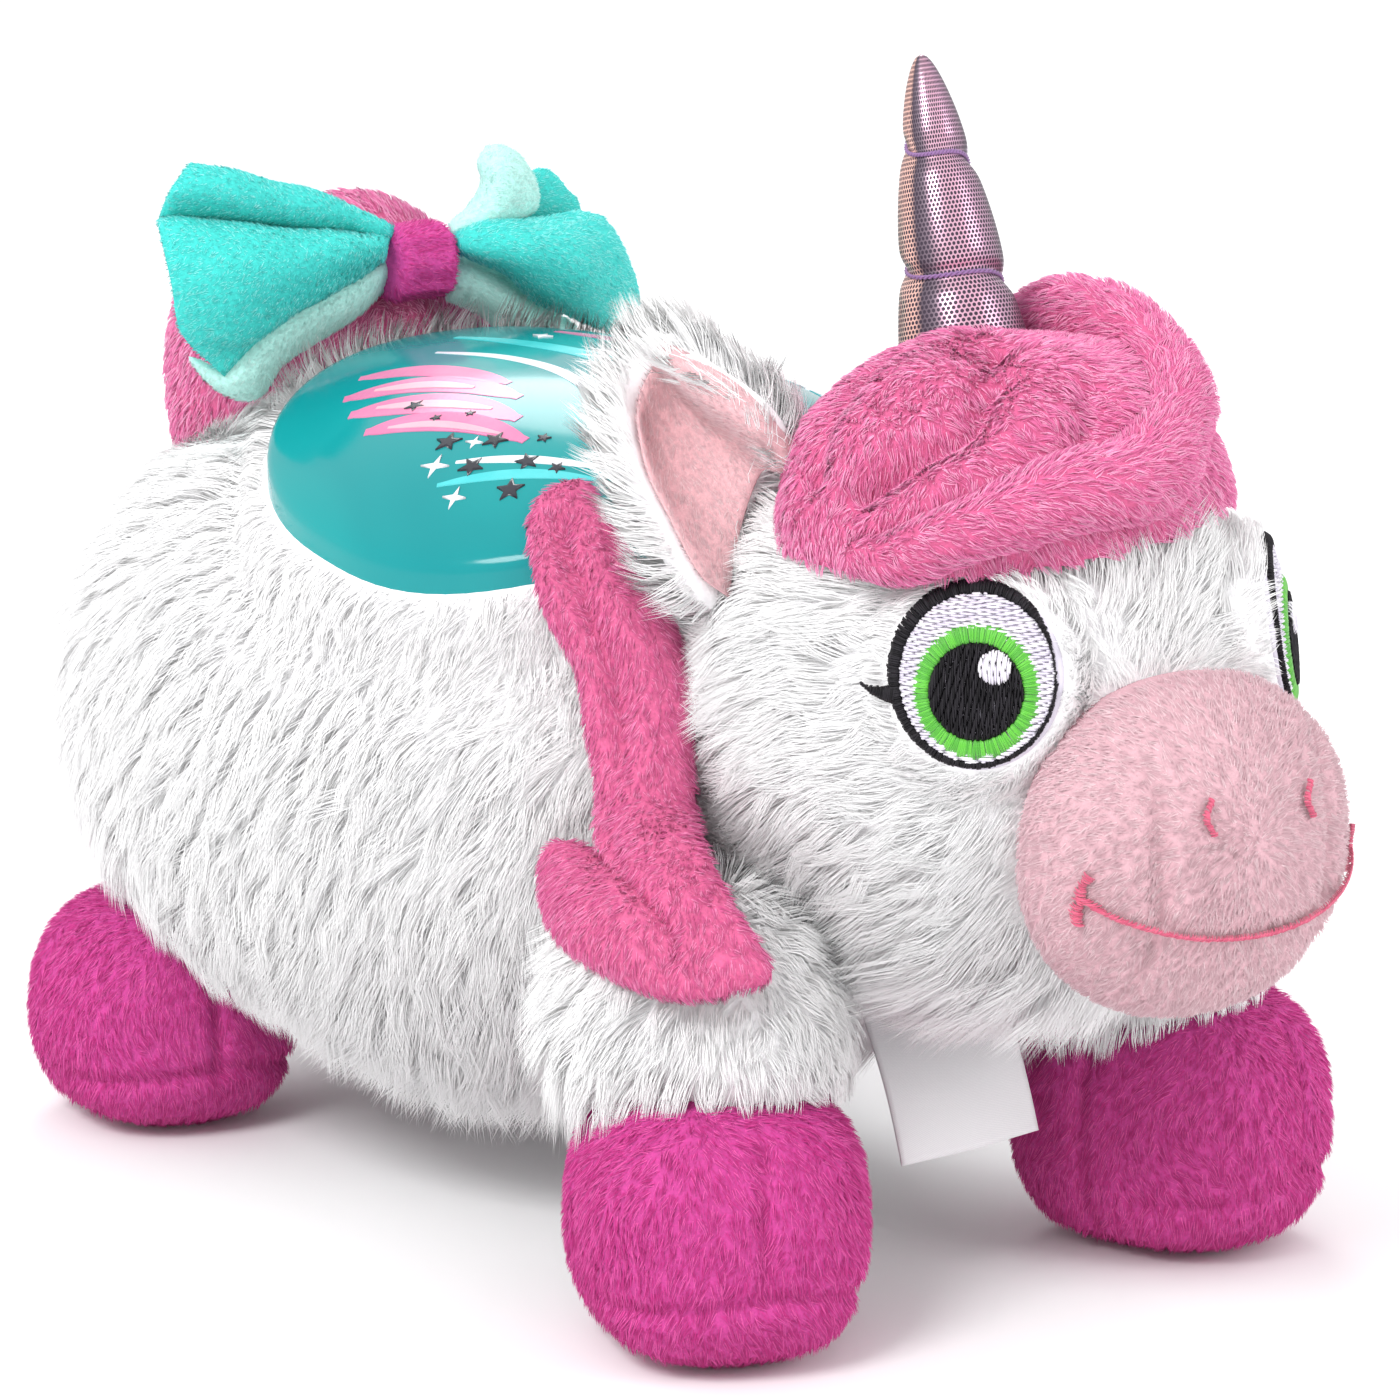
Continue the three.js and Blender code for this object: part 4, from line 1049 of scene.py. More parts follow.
def foil_material():
    """Foil cloth: a close honeycomb of dark dots on pink and lilac metal, with reflections painted round the
    horn as a peach band and dark bands.
    """
    mat, shader = principled("horn_foil", Metallic=0.6)
    tree = mat.node_tree
    split = node(tree, "ShaderNodeSeparateXYZ")
    tree.links.new(node(tree, "ShaderNodeUVMap", uv_map="cloth").outputs["UV"], split.inputs["Vector"])

    def work(operation, *values):
        made = node(tree, "ShaderNodeMath", operation=operation)
        for socket, value in zip(made.inputs, values):
            if isinstance(value, float):
                socket.default_value = value
            else:
                tree.links.new(value, socket)
        return made.outputs[0]

    def from_dot(shift):
        """How far a point is from the nearest dot of one of the honeycomb's two grids."""
        squares = []
        for axis, pitch in (("X", 1.0), ("Y", math.sqrt(3))):
            place = work("ADD", work("DIVIDE", split.outputs[axis], pitch), shift)
            off = work("MULTIPLY", work("SUBTRACT", work("FRACT", place), 0.5), pitch)
            squares.append(work("MULTIPLY", off, off))
        return work("SQRT", work("ADD", *squares))

    dot = work("LESS_THAN", work("MINIMUM", from_dot(0.0), from_dot(0.5)), 0.36)
    # The foil's colour round the horn, with its painted reflections in it.
    foil_and_painted_reflections = colour_ramp(tree, work("DIVIDE", split.outputs["X"], FOIL_DOTS), FOIL_TONES_AND_PAINTED_REFLECTIONS)
    mix = node(tree, "ShaderNodeMix", data_type="RGBA")
    tree.links.new(dot, mix.inputs["Factor"])
    between, dark = (socket for socket in mix.inputs if socket.type == "RGBA")
    tree.links.new(foil_and_painted_reflections, between)
    dark.default_value = (0.05, 0.035, 0.055, 1)
    mixed = next(socket for socket in mix.outputs if socket.type == "RGBA")
    tree.links.new(mixed, shader.inputs["Base Color"])
    vary_roughness(tree, shader, dot, 0.30, 0.55)
    add_relief(tree, shader, dot, 0.25, 0.0002, invert=True)
    return mat


build_horn()


# ------------------------------------------------------------------ bow and tail

RIGHT_WING = [
    [(-99, -4, 190), (-100, -19, 198), (-100, -34, 203), (-100, -46, 206), (-101, -54, 208)],
    [(-97, -6, 189), (-97, -21, 195), (-96, -36, 198), (-96, -49, 202), (-98, -60, 204)],
    [(-100, -4, 188), (-103, -17, 189), (-104, -30, 191), (-104, -46, 194), (-103, -60, 197)],
    [(-95, -8, 188), (-93, -24, 189), (-93, -34, 190), (-94, -51, 193), (-97, -64, 195)],
    [(-94, -9, 187), (-90, -25, 187), (-89, -38, 186), (-90, -52, 185), (-95, -63, 184)],
    [(-96, -8, 185), (-93, -20, 183), (-91, -34, 179), (-92, -48, 173), (-97, -59, 173)],
    [(-98, -8, 184), (-96, -17, 180), (-95, -30, 178), (-95, -40, 172), (-97, -49, 163)],
]
RIGHT_UNDER = [
    [(-101, -5, 184), (-102, -15, 180), (-102, -26, 177), (-101, -38, 171), (-99, -48, 165),
     (-101, -55, 167)],
    [(-99, -5, 182), (-99, -15, 177), (-99, -26, 173), (-98, -37, 168), (-98, -45, 161),
     (-101, -51, 162)],
    [(-102, -3, 178), (-103, -11, 172), (-103, -21, 167), (-102, -32, 163), (-101, -38, 157),
     (-102, -46, 158)],
]
LEFT_TOP = [
    [(-101, 12, 189), (-102, 18, 193), (-102, 21, 198), (-102, 20, 202), (-103, 23, 205)],
    [(-99, 11, 188), (-98, 20, 191), (-98, 24, 196), (-99, 25, 201), (-102, 26, 205)],
    [(-100, 12, 187), (-101, 25, 188), (-102, 35, 190), (-102, 36, 195), (-103, 32, 202)],
]
LEFT_INSIDE = [
    [(-107, 30, 189), (-107, 40, 198), (-108, 51, 191)],
    [(-107, 30, 187), (-107, 40, 190), (-108, 52, 187)],
    [(-107, 30, 183), (-107, 40, 182), (-108, 52, 181)],
]
LEFT_WING = [
    [(-99, 11, 187), (-100, 22, 188), (-101, 35, 188), (-102, 45, 189), (-105, 56, 187)],
    [(-96, 9, 187), (-93, 18, 188), (-92, 29, 186), (-94, 42, 184), (-102, 59, 181)],
    [(-95, 9, 186), (-90, 17, 185), (-88, 27, 183), (-90, 40, 178), (-102, 63, 172)],
    [(-96, 9, 185), (-92, 20, 182), (-90, 28, 177), (-92, 41, 171), (-102, 63, 165)],
    [(-99, 11, 184), (-97, 25, 179), (-97, 33, 171), (-98, 45, 166), (-103, 59, 159)],
]
LEFT_UNDER = [
    [(-102, 13, 183), (-103, 21, 180), (-103, 33, 172), (-104, 48, 163)],
    [(-99, 11, 179), (-99, 20, 175), (-99, 30, 168), (-102, 44, 160)],
    [(-102, 12, 173), (-103, 23, 167), (-103, 30, 161), (-104, 41, 158)],
]


KNOT_MIDDLE = np.array([-100.5, 1.5, 182.5])


def build_bow():
    """Each wing of the bow is turquoise in front, with mint folds under or over it."""
    heart = np.array([-99.0, 2, 184])
    parts = [
        ("right_bow_wing", RIGHT_WING, 5.5, TURQUOISE_CLOTH, TURQUOISE, ["right_bow_wing"]),
        ("right_bow_under", RIGHT_UNDER, 5.0, MINT_CLOTH, MINT, []),
        ("left_bow_wing", LEFT_WING, 5.5, TURQUOISE_CLOTH, TURQUOISE, ["left_bow_wing"]),
        ("left_bow_top", LEFT_TOP, 4.5, MINT_CLOTH, MINT, []),
        ("left_bow_inside", LEFT_INSIDE, 3.0, TURQUOISE_CLOTH, TURQUOISE, []),
        ("left_bow_under", LEFT_UNDER, 5.0, MINT_CLOTH, MINT, []),
    ]
    for seed, (name, controls, thick, material, pile, replaced) in enumerate(parts, 90):
        if name.startswith("left"):
            controls = controls[::-1]
        stuffed(name, controls, thick, "tail", "bow_pile", material, pile,
                lambda where, normal: unit(where - heart) + np.array([0, 0, -0.3]),
                density=3.4, length=1.1, width=0.17, seed=seed, steps=8, clump=1.5, replaced=replaced)


def build_knot():
    """The ribbed band round the middle of the bow, nearly square and drawn in at its waist."""
    turn, across = np.meshgrid(around(40), np.linspace(-1, 1, 24))
    ribs = 0.35 * np.cos(turn * 9) * (1 - across ** 4)
    waist = 1 - 0.12 * np.cos(across * math.pi / 2)
    edge = 1 - np.abs(across) ** 8 * 0.35

    def squared(wave, half):
        return (half * waist + ribs) * np.sign(wave) * np.abs(wave) ** 0.7 * edge

    rings = np.stack([squared(np.cos(turn), 9.0), across * 7.6, squared(np.sin(turn), 8.6)], -1) + KNOT_MIDDLE
    points, faces = stacked(rings, KNOT_MIDDLE - [0, 7.5, 0], KNOT_MIDDLE + [0, 7.5, 0])
    add_piece("bow_knot_cloth", (points, faces), MAGENTA_CLOTH, "tail", "magenta_pile", ["bow_knot"], 0.6)
    strands("bow_knot_pile", (points, faces[0]), "tail", "magenta_pile", MAGENTA, 2.4, 1.6, 0.24,
            straight(0, 1, -0.2), clump=1.6, seed=97, **FINE_PILE)


def build_tail():
    """A stuffed plume with five creases that wind out from the middle of its back."""
    way, quads = ball(30)
    points = pad_point(TAIL, way, -1.5)
    outward = normals_of(points, quads)
    for k in range(5):
        turn = np.linspace(0, 1.1, 9) + k * 2 * math.pi / 5
        reach = np.linspace(0.1, 1.0, 9)
        spiral = np.stack([np.full(9, -1.0), reach * np.cos(turn), reach * np.sin(turn)], -1)
        points = crease(points, outward, pad_point(TAIL, unit(spiral * [0.9, 1.4, 1.4]), -1.5), 3.0, 2.2)
    points = points + outward * (0.8 * waves(points, 28, 31))[:, None]
    skin = quads[inside(BODY, points[quads].mean(1), -7) > 1]
    add_piece("tail_cloth", closed_shell(points, skin), PINK_CLOTH, "tail", "pink_pile", ["tail"], 0.85)

    def comb(where, normal):
        from_middle = where - np.array(TAIL["centre"])
        swirl = np.cross([1.0, 0, 0], from_middle)
        return unit(swirl) + unit(from_middle) * 0.8 + np.array([0, 0, -0.4])

    strands("tail_pile", (points, skin), "tail", "pink_pile", PINK, 2.0, 3.4, 0.28, comb,
            keep=lambda where, normal: inside(BODY, where, -4) > 1, clump=2.3, lift=(48, 10), seed=98)


build_bow()
build_knot()
build_tail()


# ------------------------------------------------------------------ embroidery

def thread(name, colour, soft_colour, roughness):
    """Two close shades of one shiny thread."""
    return [plain(f"thread_{name}", colour, roughness, Sheen_Weight=0.3),
            plain(f"thread_{name}_soft", soft_colour, roughness + 0.05, Sheen_Weight=0.3)]


BLACK_THREAD = [plain("thread_black", (0.005, 0.004, 0.006), 0.6, Specular_IOR_Level=0.25),
                plain("thread_black_soft", (0.012, 0.010, 0.014), 0.6, Specular_IOR_Level=0.3)]
WHITE_THREAD = thread("white", (0.80, 0.77, 0.83), (0.66, 0.62, 0.72), 0.45)
GREEN_THREAD = thread("green", (0.11, 0.50, 0.035), (0.07, 0.38, 0.025), 0.4)
SMILE_THREAD = thread("rose", (0.64, 0.10, 0.19), (0.54, 0.07, 0.15), 0.4)


def stitches(name, starts, ends, place, materials, slot, replaced, *, wide=0.24, off=0.5, bulge=0.35, seed=1):
    """Flat-lying threads, each from a start to an end in a flat picture that place() drops on the head."""
    rng = np.random.default_rng(seed)
    count = len(starts)
    starts = starts + rng.normal(0, 0.10, starts.shape)
    ends = ends + rng.normal(0, 0.10, ends.shape)
    levels = np.linspace(0, 1, 5)
    spine = []
    for s in levels:
        flat = starts + (ends - starts) * s
        rise = off + bulge * math.sin(math.pi * s) - 0.35 * (s in (0.0, 1.0))
        spine.append(place(flat[:, 0], flat[:, 1], rise))
    spine = np.stack(spine, 1)
    up = place(starts[:, 0], starts[:, 1], off + 1.0) - place(starts[:, 0], starts[:, 1], off)
    up = unit(up)[:, None]
    aside = unit(np.cross(unit(np.gradient(spine, axis=1)), up))
    sides = 4
    ring = [spine + (math.cos(turn) * aside + math.sin(turn) * up) * wide for turn in around(sides)]
    points = np.stack(ring, 2).reshape(-1, 3)
    size = len(levels) * sides
    caps = [(0, 1, 2, 3), (size - 1, size - 2, size - 3, size - 4)]
    quads = np.concatenate([grid_quads(len(levels), sides, wrap=True), caps])
    faces = (quads[None] + (np.arange(count) * size)[:, None, None]).reshape(-1, 4)
    pick = np.repeat(rng.integers(0, len(materials), count), len(quads))
    finish_piece(add_mesh(name, points, faces, materials, pick), "head", slot, replaced)


def oval(turn, halves, middle=(0, 0)):
    return np.stack([middle[0] + halves[0] * np.cos(turn), middle[1] + halves[1] * np.sin(turn)], -1)


def rows_of_stitches(halves, middle, pitch, long, hole=None, upright=False):
    """Rows of stitches that fill an oval, leaving out a hole."""
    starts, ends = [], []
    reach_a, reach_b = (halves[1], halves[0]) if upright else (halves[0], halves[1])
    for row, b in enumerate(np.arange(-reach_b + pitch / 2, reach_b, pitch)):
        half = reach_a * math.sqrt(max(0, 1 - (b / reach_b) ** 2))
        cuts = np.arange(-half, half, long) + (row % 3) * long / 3
        cuts = np.concatenate([[-half], cuts[(cuts > -half + 0.6) & (cuts < half - 0.6)], [half]])
        for a0, a1 in zip(cuts[:-1], cuts[1:]):
            p, q = ((b, a0), (b, a1)) if upright else ((a0, b), (a1, b))
            p, q = np.add(p, middle), np.add(q, middle)
            if hole and np.hypot(*(((p + q) / 2 - hole[1]) / hole[0])) < 1:
                continue
            starts.append(p)
            ends.append(q)
    return np.array(starts), np.array(ends)


def outline_width(turn):
    """The black outline's width round the eye: broad at the back and the top, thin in front."""
    back = 0.5 - 0.5 * np.cos(turn)
    high, low = np.clip(np.sin(turn), 0, 1), np.clip(-np.sin(turn), 0, 1)
    wide = 0.5 + 1.9 * back ** 0.8 * (1 - 0.3 * low) + 1.3 * high * (1 - back * 0.3)
    return wide * (1 - 0.75 * np.exp(-((turn - 0.25) / 0.45) ** 2))


def build_eye(side_name, side):
    """Layers of stitches on a felt base, from the white out to the lash."""
    name = f"{side_name}_eye"
    gaze = (0, -2.4)

    def place(u, v, off):
        return on_head(u, v, side, off)

    def sew(part, lines, materials, slot, replaced, off, seed, wide=0.24):
        stitches(f"{name}_{part}_stitches", *lines, place, materials, slot, replaced,
                 wide=wide, off=off, seed=seed)

    felt = slab(oval(around(48), (15.9, 17.0)), (0.25, 0.5, 0.75, 0.93, 1.0),
                lambda flat: place(*flat.T, 0.25), lambda flat: place(*flat.T, -0.6), turned=side > 0)
    add_piece(f"{name}_felt", felt, WHITE_THREAD[1], "head", "white_thread")
    white = rows_of_stitches((14.6, 15.7), (0, 0), 0.42, 3.4, hole=((10.4, 10.8), gaze))
    sew("white", white, WHITE_THREAD, "white_thread", [f"{name}_white"], 0.55, 101)
    turn = around(209)
    iris = (oval(turn, (8.4, 8.7), gaze), oval(turn, (11.9, 12.6), gaze))
    sew("iris", iris, GREEN_THREAD, "green_thread", [f"{name}_iris"], 0.8, 102)
    pupil = rows_of_stitches((8.8, 9.1), gaze, 0.36, 4.5, upright=True)
    sew("pupil", pupil, BLACK_THREAD, "black_thread", [f"{name}_pupil"], 1.0, 103, 0.26)
    glint = rows_of_stitches((3.1, 3.2), (3.5, 2.2), 0.38, 6, upright=True)
    sew("glint", glint, WHITE_THREAD, "white_thread", [], 1.5, 104)
    turn = around(299)
    inner = oval(turn, (14.4, 15.5))
    outline = (inner, inner + oval(turn, (1, 1)) * outline_width(turn)[:, None])
    sew("outline", outline, BLACK_THREAD, "black_thread", [f"{name}_outline"], 0.75, 105, 0.26)
    share = np.linspace(0, 1, 26)
    root = oval(math.radians(192), (15.8, 16.8))
    flick = root + np.stack([-6.5 * share, -1.2 * share + 2.6 * share ** 2], -1)
    half = (1.6 * (1 - share) + 0.15)[:, None] * np.array([0.15, 1.0])
    sew("lash", (flick - half, flick + half), BLACK_THREAD, "black_thread", [], 0.8, 106, 0.26)


def on_muzzle(y, z, off):
    """A place over the muzzle for a given Y and Z, raised by off mm."""
    middle, radii = np.array(MUZZLE["centre"]), np.array(MUZZLE["radii"], float)
    p = MUZZLE["power"]
    v, w = y / radii[1], (z - middle[2]) / radii[2]
    u = np.clip(1 - np.abs(v) ** p - np.abs(w) ** p, 0.02, 1) ** (1 / p)
    slope = np.stack([np.sign(s) * np.abs(s) ** (p - 1) / radius for s, radius in zip((u, v, w), radii)], -1)
    return np.stack([middle[0] + u * radii[0], y, z], -1) + unit(slope) * off


def line_stitches(name, path, wide, pitch, replaced, seed, slant=0.5):
    """Satin stitches that cross a line drawn on the muzzle's Y and Z."""
    line = catmull(path, 14)
    far = np.concatenate([[0], np.cumsum(np.linalg.norm(np.diff(line, axis=0), axis=1))])
    at = np.linspace(0, far[-1], int(far[-1] / pitch))
    middle = np.stack([np.interp(at, far, line[:, k]) for k in range(2)], -1)
    ahead = unit(np.gradient(middle, axis=0))
    half = (np.stack([-ahead[:, 1], ahead[:, 0]], -1) + ahead * slant) * wide / 2
    stitches(name, middle - half, middle + half, on_muzzle, SMILE_THREAD, "mouth_thread", replaced,
             wide=0.2, off=-0.1, bulge=0.45, seed=seed)


def build_mouth():
    smile = [(-33.5, 101), (-29, 97.6), (-21, 94.4), (-12, 92.3), (0, 91.2),
             (12, 92.0), (21, 94), (29, 97.2), (33.5, 100.6)]
    line_stitches("smile_stitches", smile, 0.95, 0.32, ["smile_stitching"], 111, slant=1.2)
    for side_name, side in SIDES:
        corner = f"{side_name}_smile_corner"
        upper = [(side * 33.4, 100.8), (side * 33.4, 103), (side * 32.6, 105.4)]
        lower = [(side * 33.4, 101), (side * 33.6, 98.5), (side * 33.2, 95.8)]
        line_stitches(f"{corner}_upper", upper, 1.2, 0.32, [], 112)
        line_stitches(f"{corner}_lower", lower, 1.1, 0.32, [], 113)
        y, z = side * 12.3, 115.2
        line_stitches(f"{side_name}_nostril_stitches", [(y + 1.0, z + 3.2), (y - 0.6, z), (y + 0.8, z - 3.2)],
                      1.15, 0.3, [f"{side_name}_nostril_stitch"], 114)


for side_name, side in SIDES:
    build_eye(side_name, side)
build_mouth()


# ------------------------------------------------------------------ window, label and flap

PRINT_LIFT = 0.3
PRINT_TONES = {
    "rose": ((0.62, 0.12, 0.30), (0.72, 0.20, 0.38)),
    "blush": ((0.66, 0.34, 0.44), (0.74, 0.44, 0.52)),
    "cream": ((0.72, 0.74, 0.80), (0.84, 0.85, 0.88)),
    "sky": ((0.03, 0.50, 0.53), (0.10, 0.62, 0.64)),
    "night": ((0.012, 0.014, 0.02), (0.03, 0.03, 0.045)),
}
STROKES = [
    ([(-62, -38), (-52, -30), (-40, -26), (-28, -24)], 6.5, "rose", 0.10),
    ([(-56, -46), (-46, -36), (-34, -30), (-20, -27)], 8.0, "rose", 0.12),
    ([(-48, -50), (-38, -42), (-26, -36), (-12, -33)], 8.5, "rose", 0.14),
    ([(-38, -53), (-30, -46), (-18, -40), (-4, -37)], 7.0, "rose", 0.16),
    ([(-52, -41), (-42, -34), (-32, -30)], 3.2, "blush", 0.20),
    ([(-44, -46), (-32, -39), (-20, -34)], 3.0, "blush", 0.22),
    ([(-34, -50), (-24, -44), (-10, -39)], 2.2, "blush", 0.24),
    ([(-60, -20), (-44, -14), (-26, -12), (-6, -16), (12, -22)], 3.2, "cream", 0.10),
    ([(-70, -8), (-50, -2), (-28, 2), (-4, 0), (18, -6)], 6.0, "sky", 0.12),
    ([(-10, -50), (2, -40), (14, -31)], 2.2, "cream", 0.12),
    ([(-8, -56), (4, -44), (16, -34)], 2.6, "sky", 0.14),
    ([(-64, 14), (-40, 22), (-14, 22), (8, 12)], 8.0, "rose", 0.10),
    ([(-56, 28), (-36, 36), (-14, 36), (4, 26)], 3.6, "cream", 0.12),
    ([(-46, 44), (-28, 50), (-8, 46)], 4.0, "sky", 0.12),
]
STARS = [(-36, -42, 2.2), (-27, -43, 1.3), (-22, -38, 1.2), (-17, -47, 3.0), (-9, -41, 2.8), (-6, -49, 2.8),
         (2, -41, 2.6), (6, -48, 3.0), (-2, -34, 1.6), (8, -38, 1.8), (-30, 28, 2.2), (-16, 30, 2.6),
         (-4, 20, 2.0)]
SPARKLES = [(-13, -53, 3.2), (-2, -56, 2.6), (-12, -44, 2.0), (-58, 6, 2.4), (-20, 48, 2.6)]


def dome_height(x, y, grow):
    """How high the top of the body's rounded pad is, grown by some mm."""
    radii, p = np.array(BODY["radii"], float) + grow, BODY["power"]
    left = 1 - (np.abs(x - BODY["centre"][0]) / radii[0]) ** p - (np.abs(y) / radii[1]) ** p
    return BODY["centre"][2] + radii[2] * np.clip(left, 0.001, 1) ** (1 / p)


def on_window(flat, lift):
    """Places lift mm over the window's own surface, for flat X and Y points."""
    return np.stack([flat[:, 0], flat[:, 1], dome_height(flat[:, 0], flat[:, 1], WINDOW["proud"] + lift)], -1)


def window_material():
    """Printed film: a teal sky that darkens towards one side under a clear gloss."""
    mat, shader = principled("window_film", Specular_IOR_Level=0.25, Coat_Weight=0.15, Coat_Roughness=0.08)
    tree = mat.node_tree
    drift = pattern(tree, "Noise", Scale=14.0, Detail=2.0, Distortion=0.6)
    teal = colour_ramp(tree, drift, [(0.32, (0.0, 0.20, 0.225)), (0.68, (0.004, 0.30, 0.305))])
    tree.links.new(teal, shader.inputs["Base Color"])
    vary_roughness(tree, shader, pattern(tree, "Noise", Scale=900.0, Detail=2.0), 0.10, 0.2)
    return mat


def print_star(name, place, material, points, waist, spin):
    """A printed star: a thin slab on the window, with its points reach mm from its middle."""
    x, y, reach = place
    corner = np.arange(2 * points)
    size = np.where(corner % 2, reach * waist, reach)[:, None]
    outline = [x, y] + oval(corner * math.pi / points + spin, (1, 1)) * size
    shape = slab(outline, (0.34, 0.67, 1.0), lambda flat: on_window(flat, PRINT_LIFT + 0.30),
                 lambda flat: on_window(flat, -PRINT_LIFT))
    add_piece(name, shape, material, "torso", "window_film")


def print_stroke(name, path, wide, material, off):
    """A printed brush stroke that follows a path over the window and thins towards its ends."""
    line = catmull(path, 10)
    ahead = unit(np.gradient(line, axis=0))
    share = np.linspace(0, 1, len(line)).clip(0.03, 0.97)
    half = np.stack([-ahead[:, 1], ahead[:, 0]], -1) * (wide / 2 * np.sin(math.pi * share) ** 0.5)[:, None]
    left, right = line + half, line - half
    ring = [on_window(left, PRINT_LIFT + off), on_window(right, PRINT_LIFT + off),
            on_window(right, -PRINT_LIFT), on_window(left, -PRINT_LIFT)]
    last = (len(line) - 1) * 4
    ends = [(0, 1, 2, 3), (last + 3, last + 2, last + 1, last)]
    quads = np.concatenate([grid_quads(len(line), 4, wrap=True), ends])[:, ::-1]
    add_piece(name, (np.stack(ring, 1).reshape(-1, 3), quads), material, "torso", "window_film", smooth=False)


def build_window():
    """A thin dome with a rounded shoulder and a skirt that goes down into the body."""
    half, p = np.array(WINDOW["half"], float) + 0.5, WINDOW["power"]
    c, s = np.cos(around(96)), np.sin(around(96))
    rim = np.stack([c, s], -1) * half * ((np.abs(c) ** p + np.abs(s) ** p) ** (-1 / p))[:, None]

    def ring(share, down):
        return on_window(rim * share + [WINDOW["middle"], 0], -down)

    flat_levels = np.linspace(0.06, 0.94, 16)
    rings = [ring(level, -0.3) for level in flat_levels]
    rings += [ring(0.965, -0.3), ring(0.985, -0.15), ring(0.996, 0.2), ring(1.0, 0.9)]
    rings += [rings[-1] - [0, 0, down] for down in (1.5, 3.0, 4.5, 6.0)]
    rings += [ring(0.996, 1.2) - [0, 0, 6.0], ring(0.996, 0.6), ring(0.98, 0.2)]
    rings += [ring(level, 0.15) for level in flat_levels[::-1]]
    middle = np.array([[WINDOW["middle"], 0.0]])
    top, low = on_window(middle, 0)[0] + [0, 0, 0.3], on_window(middle, -0.15)[0]
    add_piece("window_dome", stacked(np.array(rings), top, low), window_material(), "torso", "window_film",
              ["dome_window"])
    prints = {tone: textured(f"print_{tone}", *pair, 60, 0.2, 0.0) for tone, pair in PRINT_TONES.items()}
    for i, (path, wide, tone, off) in enumerate(STROKES, 1):
        print_stroke(f"window_stroke_{i}", path, wide, prints[tone], off)
    for i, place in enumerate(STARS):
        print_star(f"window_star_{i + 1}", place, prints["night"], 5, 0.42, 0.4 + i)
    for i, place in enumerate(SPARKLES):
        print_star(f"window_sparkle_{i + 1}", place, prints["cream"], 4, 0.25, 0.5)


def build_label():
    """A blank cloth label that hangs from its top edge and rests against the body, a little curled."""
    rows = []
    hang = math.radians(28)
    for k in range(5):
        down, curl = 2 + k * 8.25, k / 4
        sway = 1.4 * math.sin(k * 0.9)
        x, z = 76 + math.sin(hang) * down + sway, 60 - math.cos(hang) * down - 0.5 * sway
        rows.append([(x - 0.6 * abs(j) * curl + 0.2 * (j + 2), 2 + j * 8.5, z + 0.35 * j * curl)
                     for j in range(-2, 3)])
    tape = textured("label_cloth", (0.74, 0.73, 0.75), (0.86, 0.85, 0.86), 2600, 0.8, 0.4, kind="WEAVE")
    made = add_piece("label_sheet", pillow(net(rows, 7), 0.7, 0.5), tape, "label", "label", ["sewn_in_label"])


def build_flap():
    """The furry flap that closes the belly's pocket and follows the body's underside."""
    x, y = np.meshgrid(np.linspace(-59, 7, 26), np.linspace(-25, 25, 20), indexing="ij")
    z = 2 * BODY["centre"][2] - dome_height(x, y, -1.5)
    shape = pillow(np.stack([x, y, z], -1), 2.8, 1.0)
    add_piece("belly_flap_cloth", shape, BACKING, "flap", "white_pile", ["belly_flap"], 0.3)
    strands("belly_flap_pile", shape, "flap", "white_pile", WHITE, 1.6, 4.0, 0.26, straight(-1, 0, 0),
            keep=lambda where, normal: normal[:, 2] < -0.3, clump=2.6, seed=121)


build_window()
build_label()
build_flap()


# ------------------------------------------------------------------ stuffing and the parts inside

FILLINGS = {"body_filling": 3.0, "head_filling": 3.0, "horn_filling": 1.0}
FILLINGS.update({f"{end}_{name}_leg_filling": 2.5 for end in ("front", "rear") for name, _ in SIDES})


LAMP_TONES = {
    "red": ((0.60, 0.03, 0.02), (0.75, 0.08, 0.05)),
    "green": ((0.03, 0.45, 0.08), (0.08, 0.60, 0.15)),
    "blue": ((0.03, 0.12, 0.60), (0.08, 0.22, 0.78)),
}


def read_points(source, attribute):
    """The vectors that a mesh's collection holds, one row each."""
    values = np.zeros(len(source) * 3, np.float32)
    source.foreach_get(attribute, values)
    return values.reshape(-1, 3).astype(float)


def build_stuffing():
    """Each filling is its CAD shape, remeshed with cells of so many mm and made lumpy."""
    fibre = textured("stuffing_fibre", (0.70, 0.70, 0.71), (0.90, 0.90, 0.90), 500, 0.95, 0.8, distance=0.001)
    for node_name, cell in FILLINGS.items():
        source = frame["nodes"][node_name]
        made = bpy.data.objects.new(f"{node_name}_fibre", source.data.copy())
        bpy.context.scene.collection.objects.link(made)
        made.modifiers.new("remesh", "REMESH").voxel_size = cell * MM
        soften = made.modifiers.new("soften", "SMOOTH")
        soften.factor, soften.iterations = 0.5, 4
        depsgraph = bpy.context.evaluated_depsgraph_get()
        applied = bpy.data.meshes.new_from_object(made.evaluated_get(depsgraph))
        made.modifiers.clear()
        made.data = applied
        points, out = read_points(applied.vertices, "co"), read_points(applied.vertex_normals, "vector")
        lumps = 0.25 * cell * (waves(points / MM, 9, 41) - 1.0) * MM
        applied.vertices.foreach_set("co", (points + out * lumps[:, None]).astype(np.float32).ravel())
        applied.materials.clear()
        applied.materials.append(fibre)
        applied.polygons.foreach_set("use_smooth", np.full(len(applied.polygons), True))
        applied.update()
        finish_piece(made, source["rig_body"], "filling", [node_name])


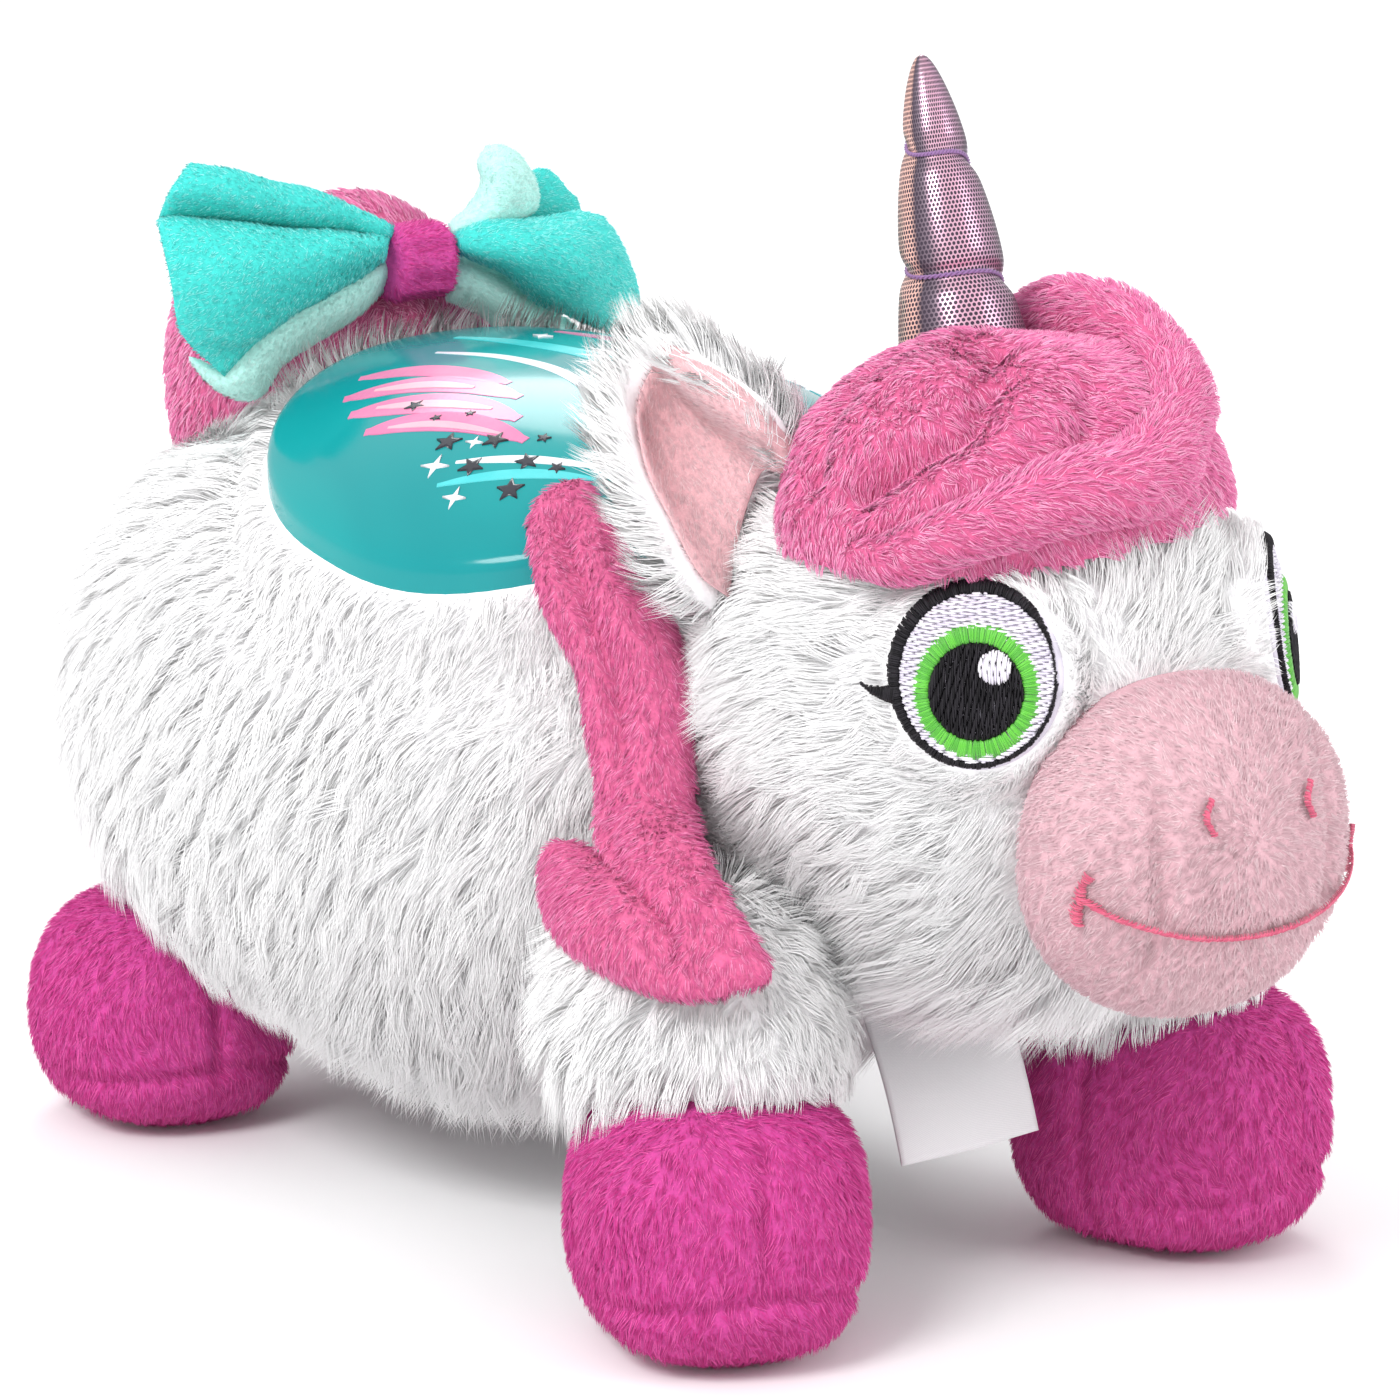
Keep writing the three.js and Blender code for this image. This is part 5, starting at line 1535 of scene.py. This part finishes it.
def repaint():
    """Looks for the moulded and bought parts inside, which keep their CAD shapes."""
    finishes = {
        "light_base": ("base_plastic", (0.80, 0.80, 0.79), (0.86, 0.86, 0.85), 800, 0.45, 0.1),
        "light_button": ("button_rubber", (0.78, 0.77, 0.80), (0.86, 0.85, 0.87), 700, 0.6, 0.2),
        "circuit_board": ("board_lacquer", (0.01, 0.16, 0.06), (0.03, 0.26, 0.10), 260, 0.35, 0.3, "CELLS"),
        "battery_box": ("box_plastic", (0.62, 0.62, 0.63), (0.70, 0.70, 0.71), 800, 0.5, 0.15),
        "battery_door": ("door_plastic", (0.66, 0.66, 0.67), (0.74, 0.74, 0.75), 800, 0.5, 0.2),
    }
    painted = {name: textured(*finish) for name, finish in finishes.items()}
    steel = textured("screw_steel", (0.48, 0.49, 0.50), (0.64, 0.65, 0.66), 500, 0.3, 0.1, Metallic=1.0)
    painted["door_screw"] = steel
    for tone, pair in LAMP_TONES.items():
        painted[f"{tone}_lamp"] = textured(f"lamp_{tone}", *pair, 200, 0.15, 0.0, Coat_Weight=0.5)
    black = (0.02, 0.022, 0.03), (0.05, 0.055, 0.07)
    sleeve = textured("battery_sleeve", *black, 120, 0.35, 0.05, Metallic=0.3)
    for order in ("first", "second", "third"):
        painted[f"{order}_battery"] = sleeve
    for name, material in painted.items():
        mesh = frame["nodes"][name].data
        mesh.materials.clear()
        mesh.materials.append(material)


build_stuffing()
repaint()


# ------------------------------------------------------------------ camera, floor and light

CAMERA_TARGET = Vector((0.005, 0, 0.1047))
CAMERA_WAY = Vector((0.7788, -0.5869, 0.2215))
CAMERA_DISTANCE = 1.3
CAMERA_LENS, CAMERA_SENSOR = 163.07, 36
LAMP_TARGET = (0, 0, 0.1)
FLOOR_HALF = 6000
SKY_STRENGTH = 1.05


def aim(thing, target):
    way = Vector(target) - thing.location
    thing.rotation_euler = way.to_track_quat("-Z", "Y").to_euler()


def build_camera():
    data = bpy.data.cameras.new("camera")
    camera = bpy.data.objects.new("camera", data)
    bpy.context.scene.collection.objects.link(camera)
    camera.location = CAMERA_TARGET + CAMERA_DISTANCE * CAMERA_WAY
    data.lens, data.sensor_width = CAMERA_LENS, CAMERA_SENSOR
    data.clip_start, data.clip_end = 0.05, 50
    aim(camera, CAMERA_TARGET)
    bpy.context.scene.camera = camera


def add_area(name, place, size, watts, gloss):
    data = bpy.data.lights.new(name, "AREA")
    data.shape, data.size, data.energy = "DISK", size, watts
    data.specular_factor = gloss
    lamp = bpy.data.objects.new(name, data)
    lamp.location = place
    bpy.context.scene.collection.objects.link(lamp)
    aim(lamp, LAMP_TARGET)


def build_stage():
    corners = [(-FLOOR_HALF, -FLOOR_HALF, 0), (FLOOR_HALF, -FLOOR_HALF, 0),
               (FLOOR_HALF, FLOOR_HALF, 0), (-FLOOR_HALF, FLOOR_HALF, 0)]
    paper = plain("floor_paper", (0.92, 0.92, 0.925), 0.9)
    floor = add_mesh("floor", corners, np.array([[0, 1, 2, 3]]), [paper], smooth=False)
    world = bpy.data.worlds.new("studio")
    world.use_nodes = True
    sky = world.node_tree.nodes["Background"]
    sky.inputs["Color"].default_value = (1, 1, 1, 1)
    sky.inputs["Strength"].default_value = SKY_STRENGTH
    scene = bpy.context.scene
    scene.world = world
    scene.view_settings.view_transform = "Standard"
    scene.cycles.diffuse_bounces = 8
    scene.cycles.max_bounces = 10
    add_area("key", (0.6, -1.5, 1.5), 0.9, 27, 0.6)
    add_area("fill", (1.6, 0.8, 0.9), 1.0, 9, 0.5)
    add_area("back", (-1.3, 0.9, 1.4), 0.8, 8, 0.05)


build_camera()
build_stage()
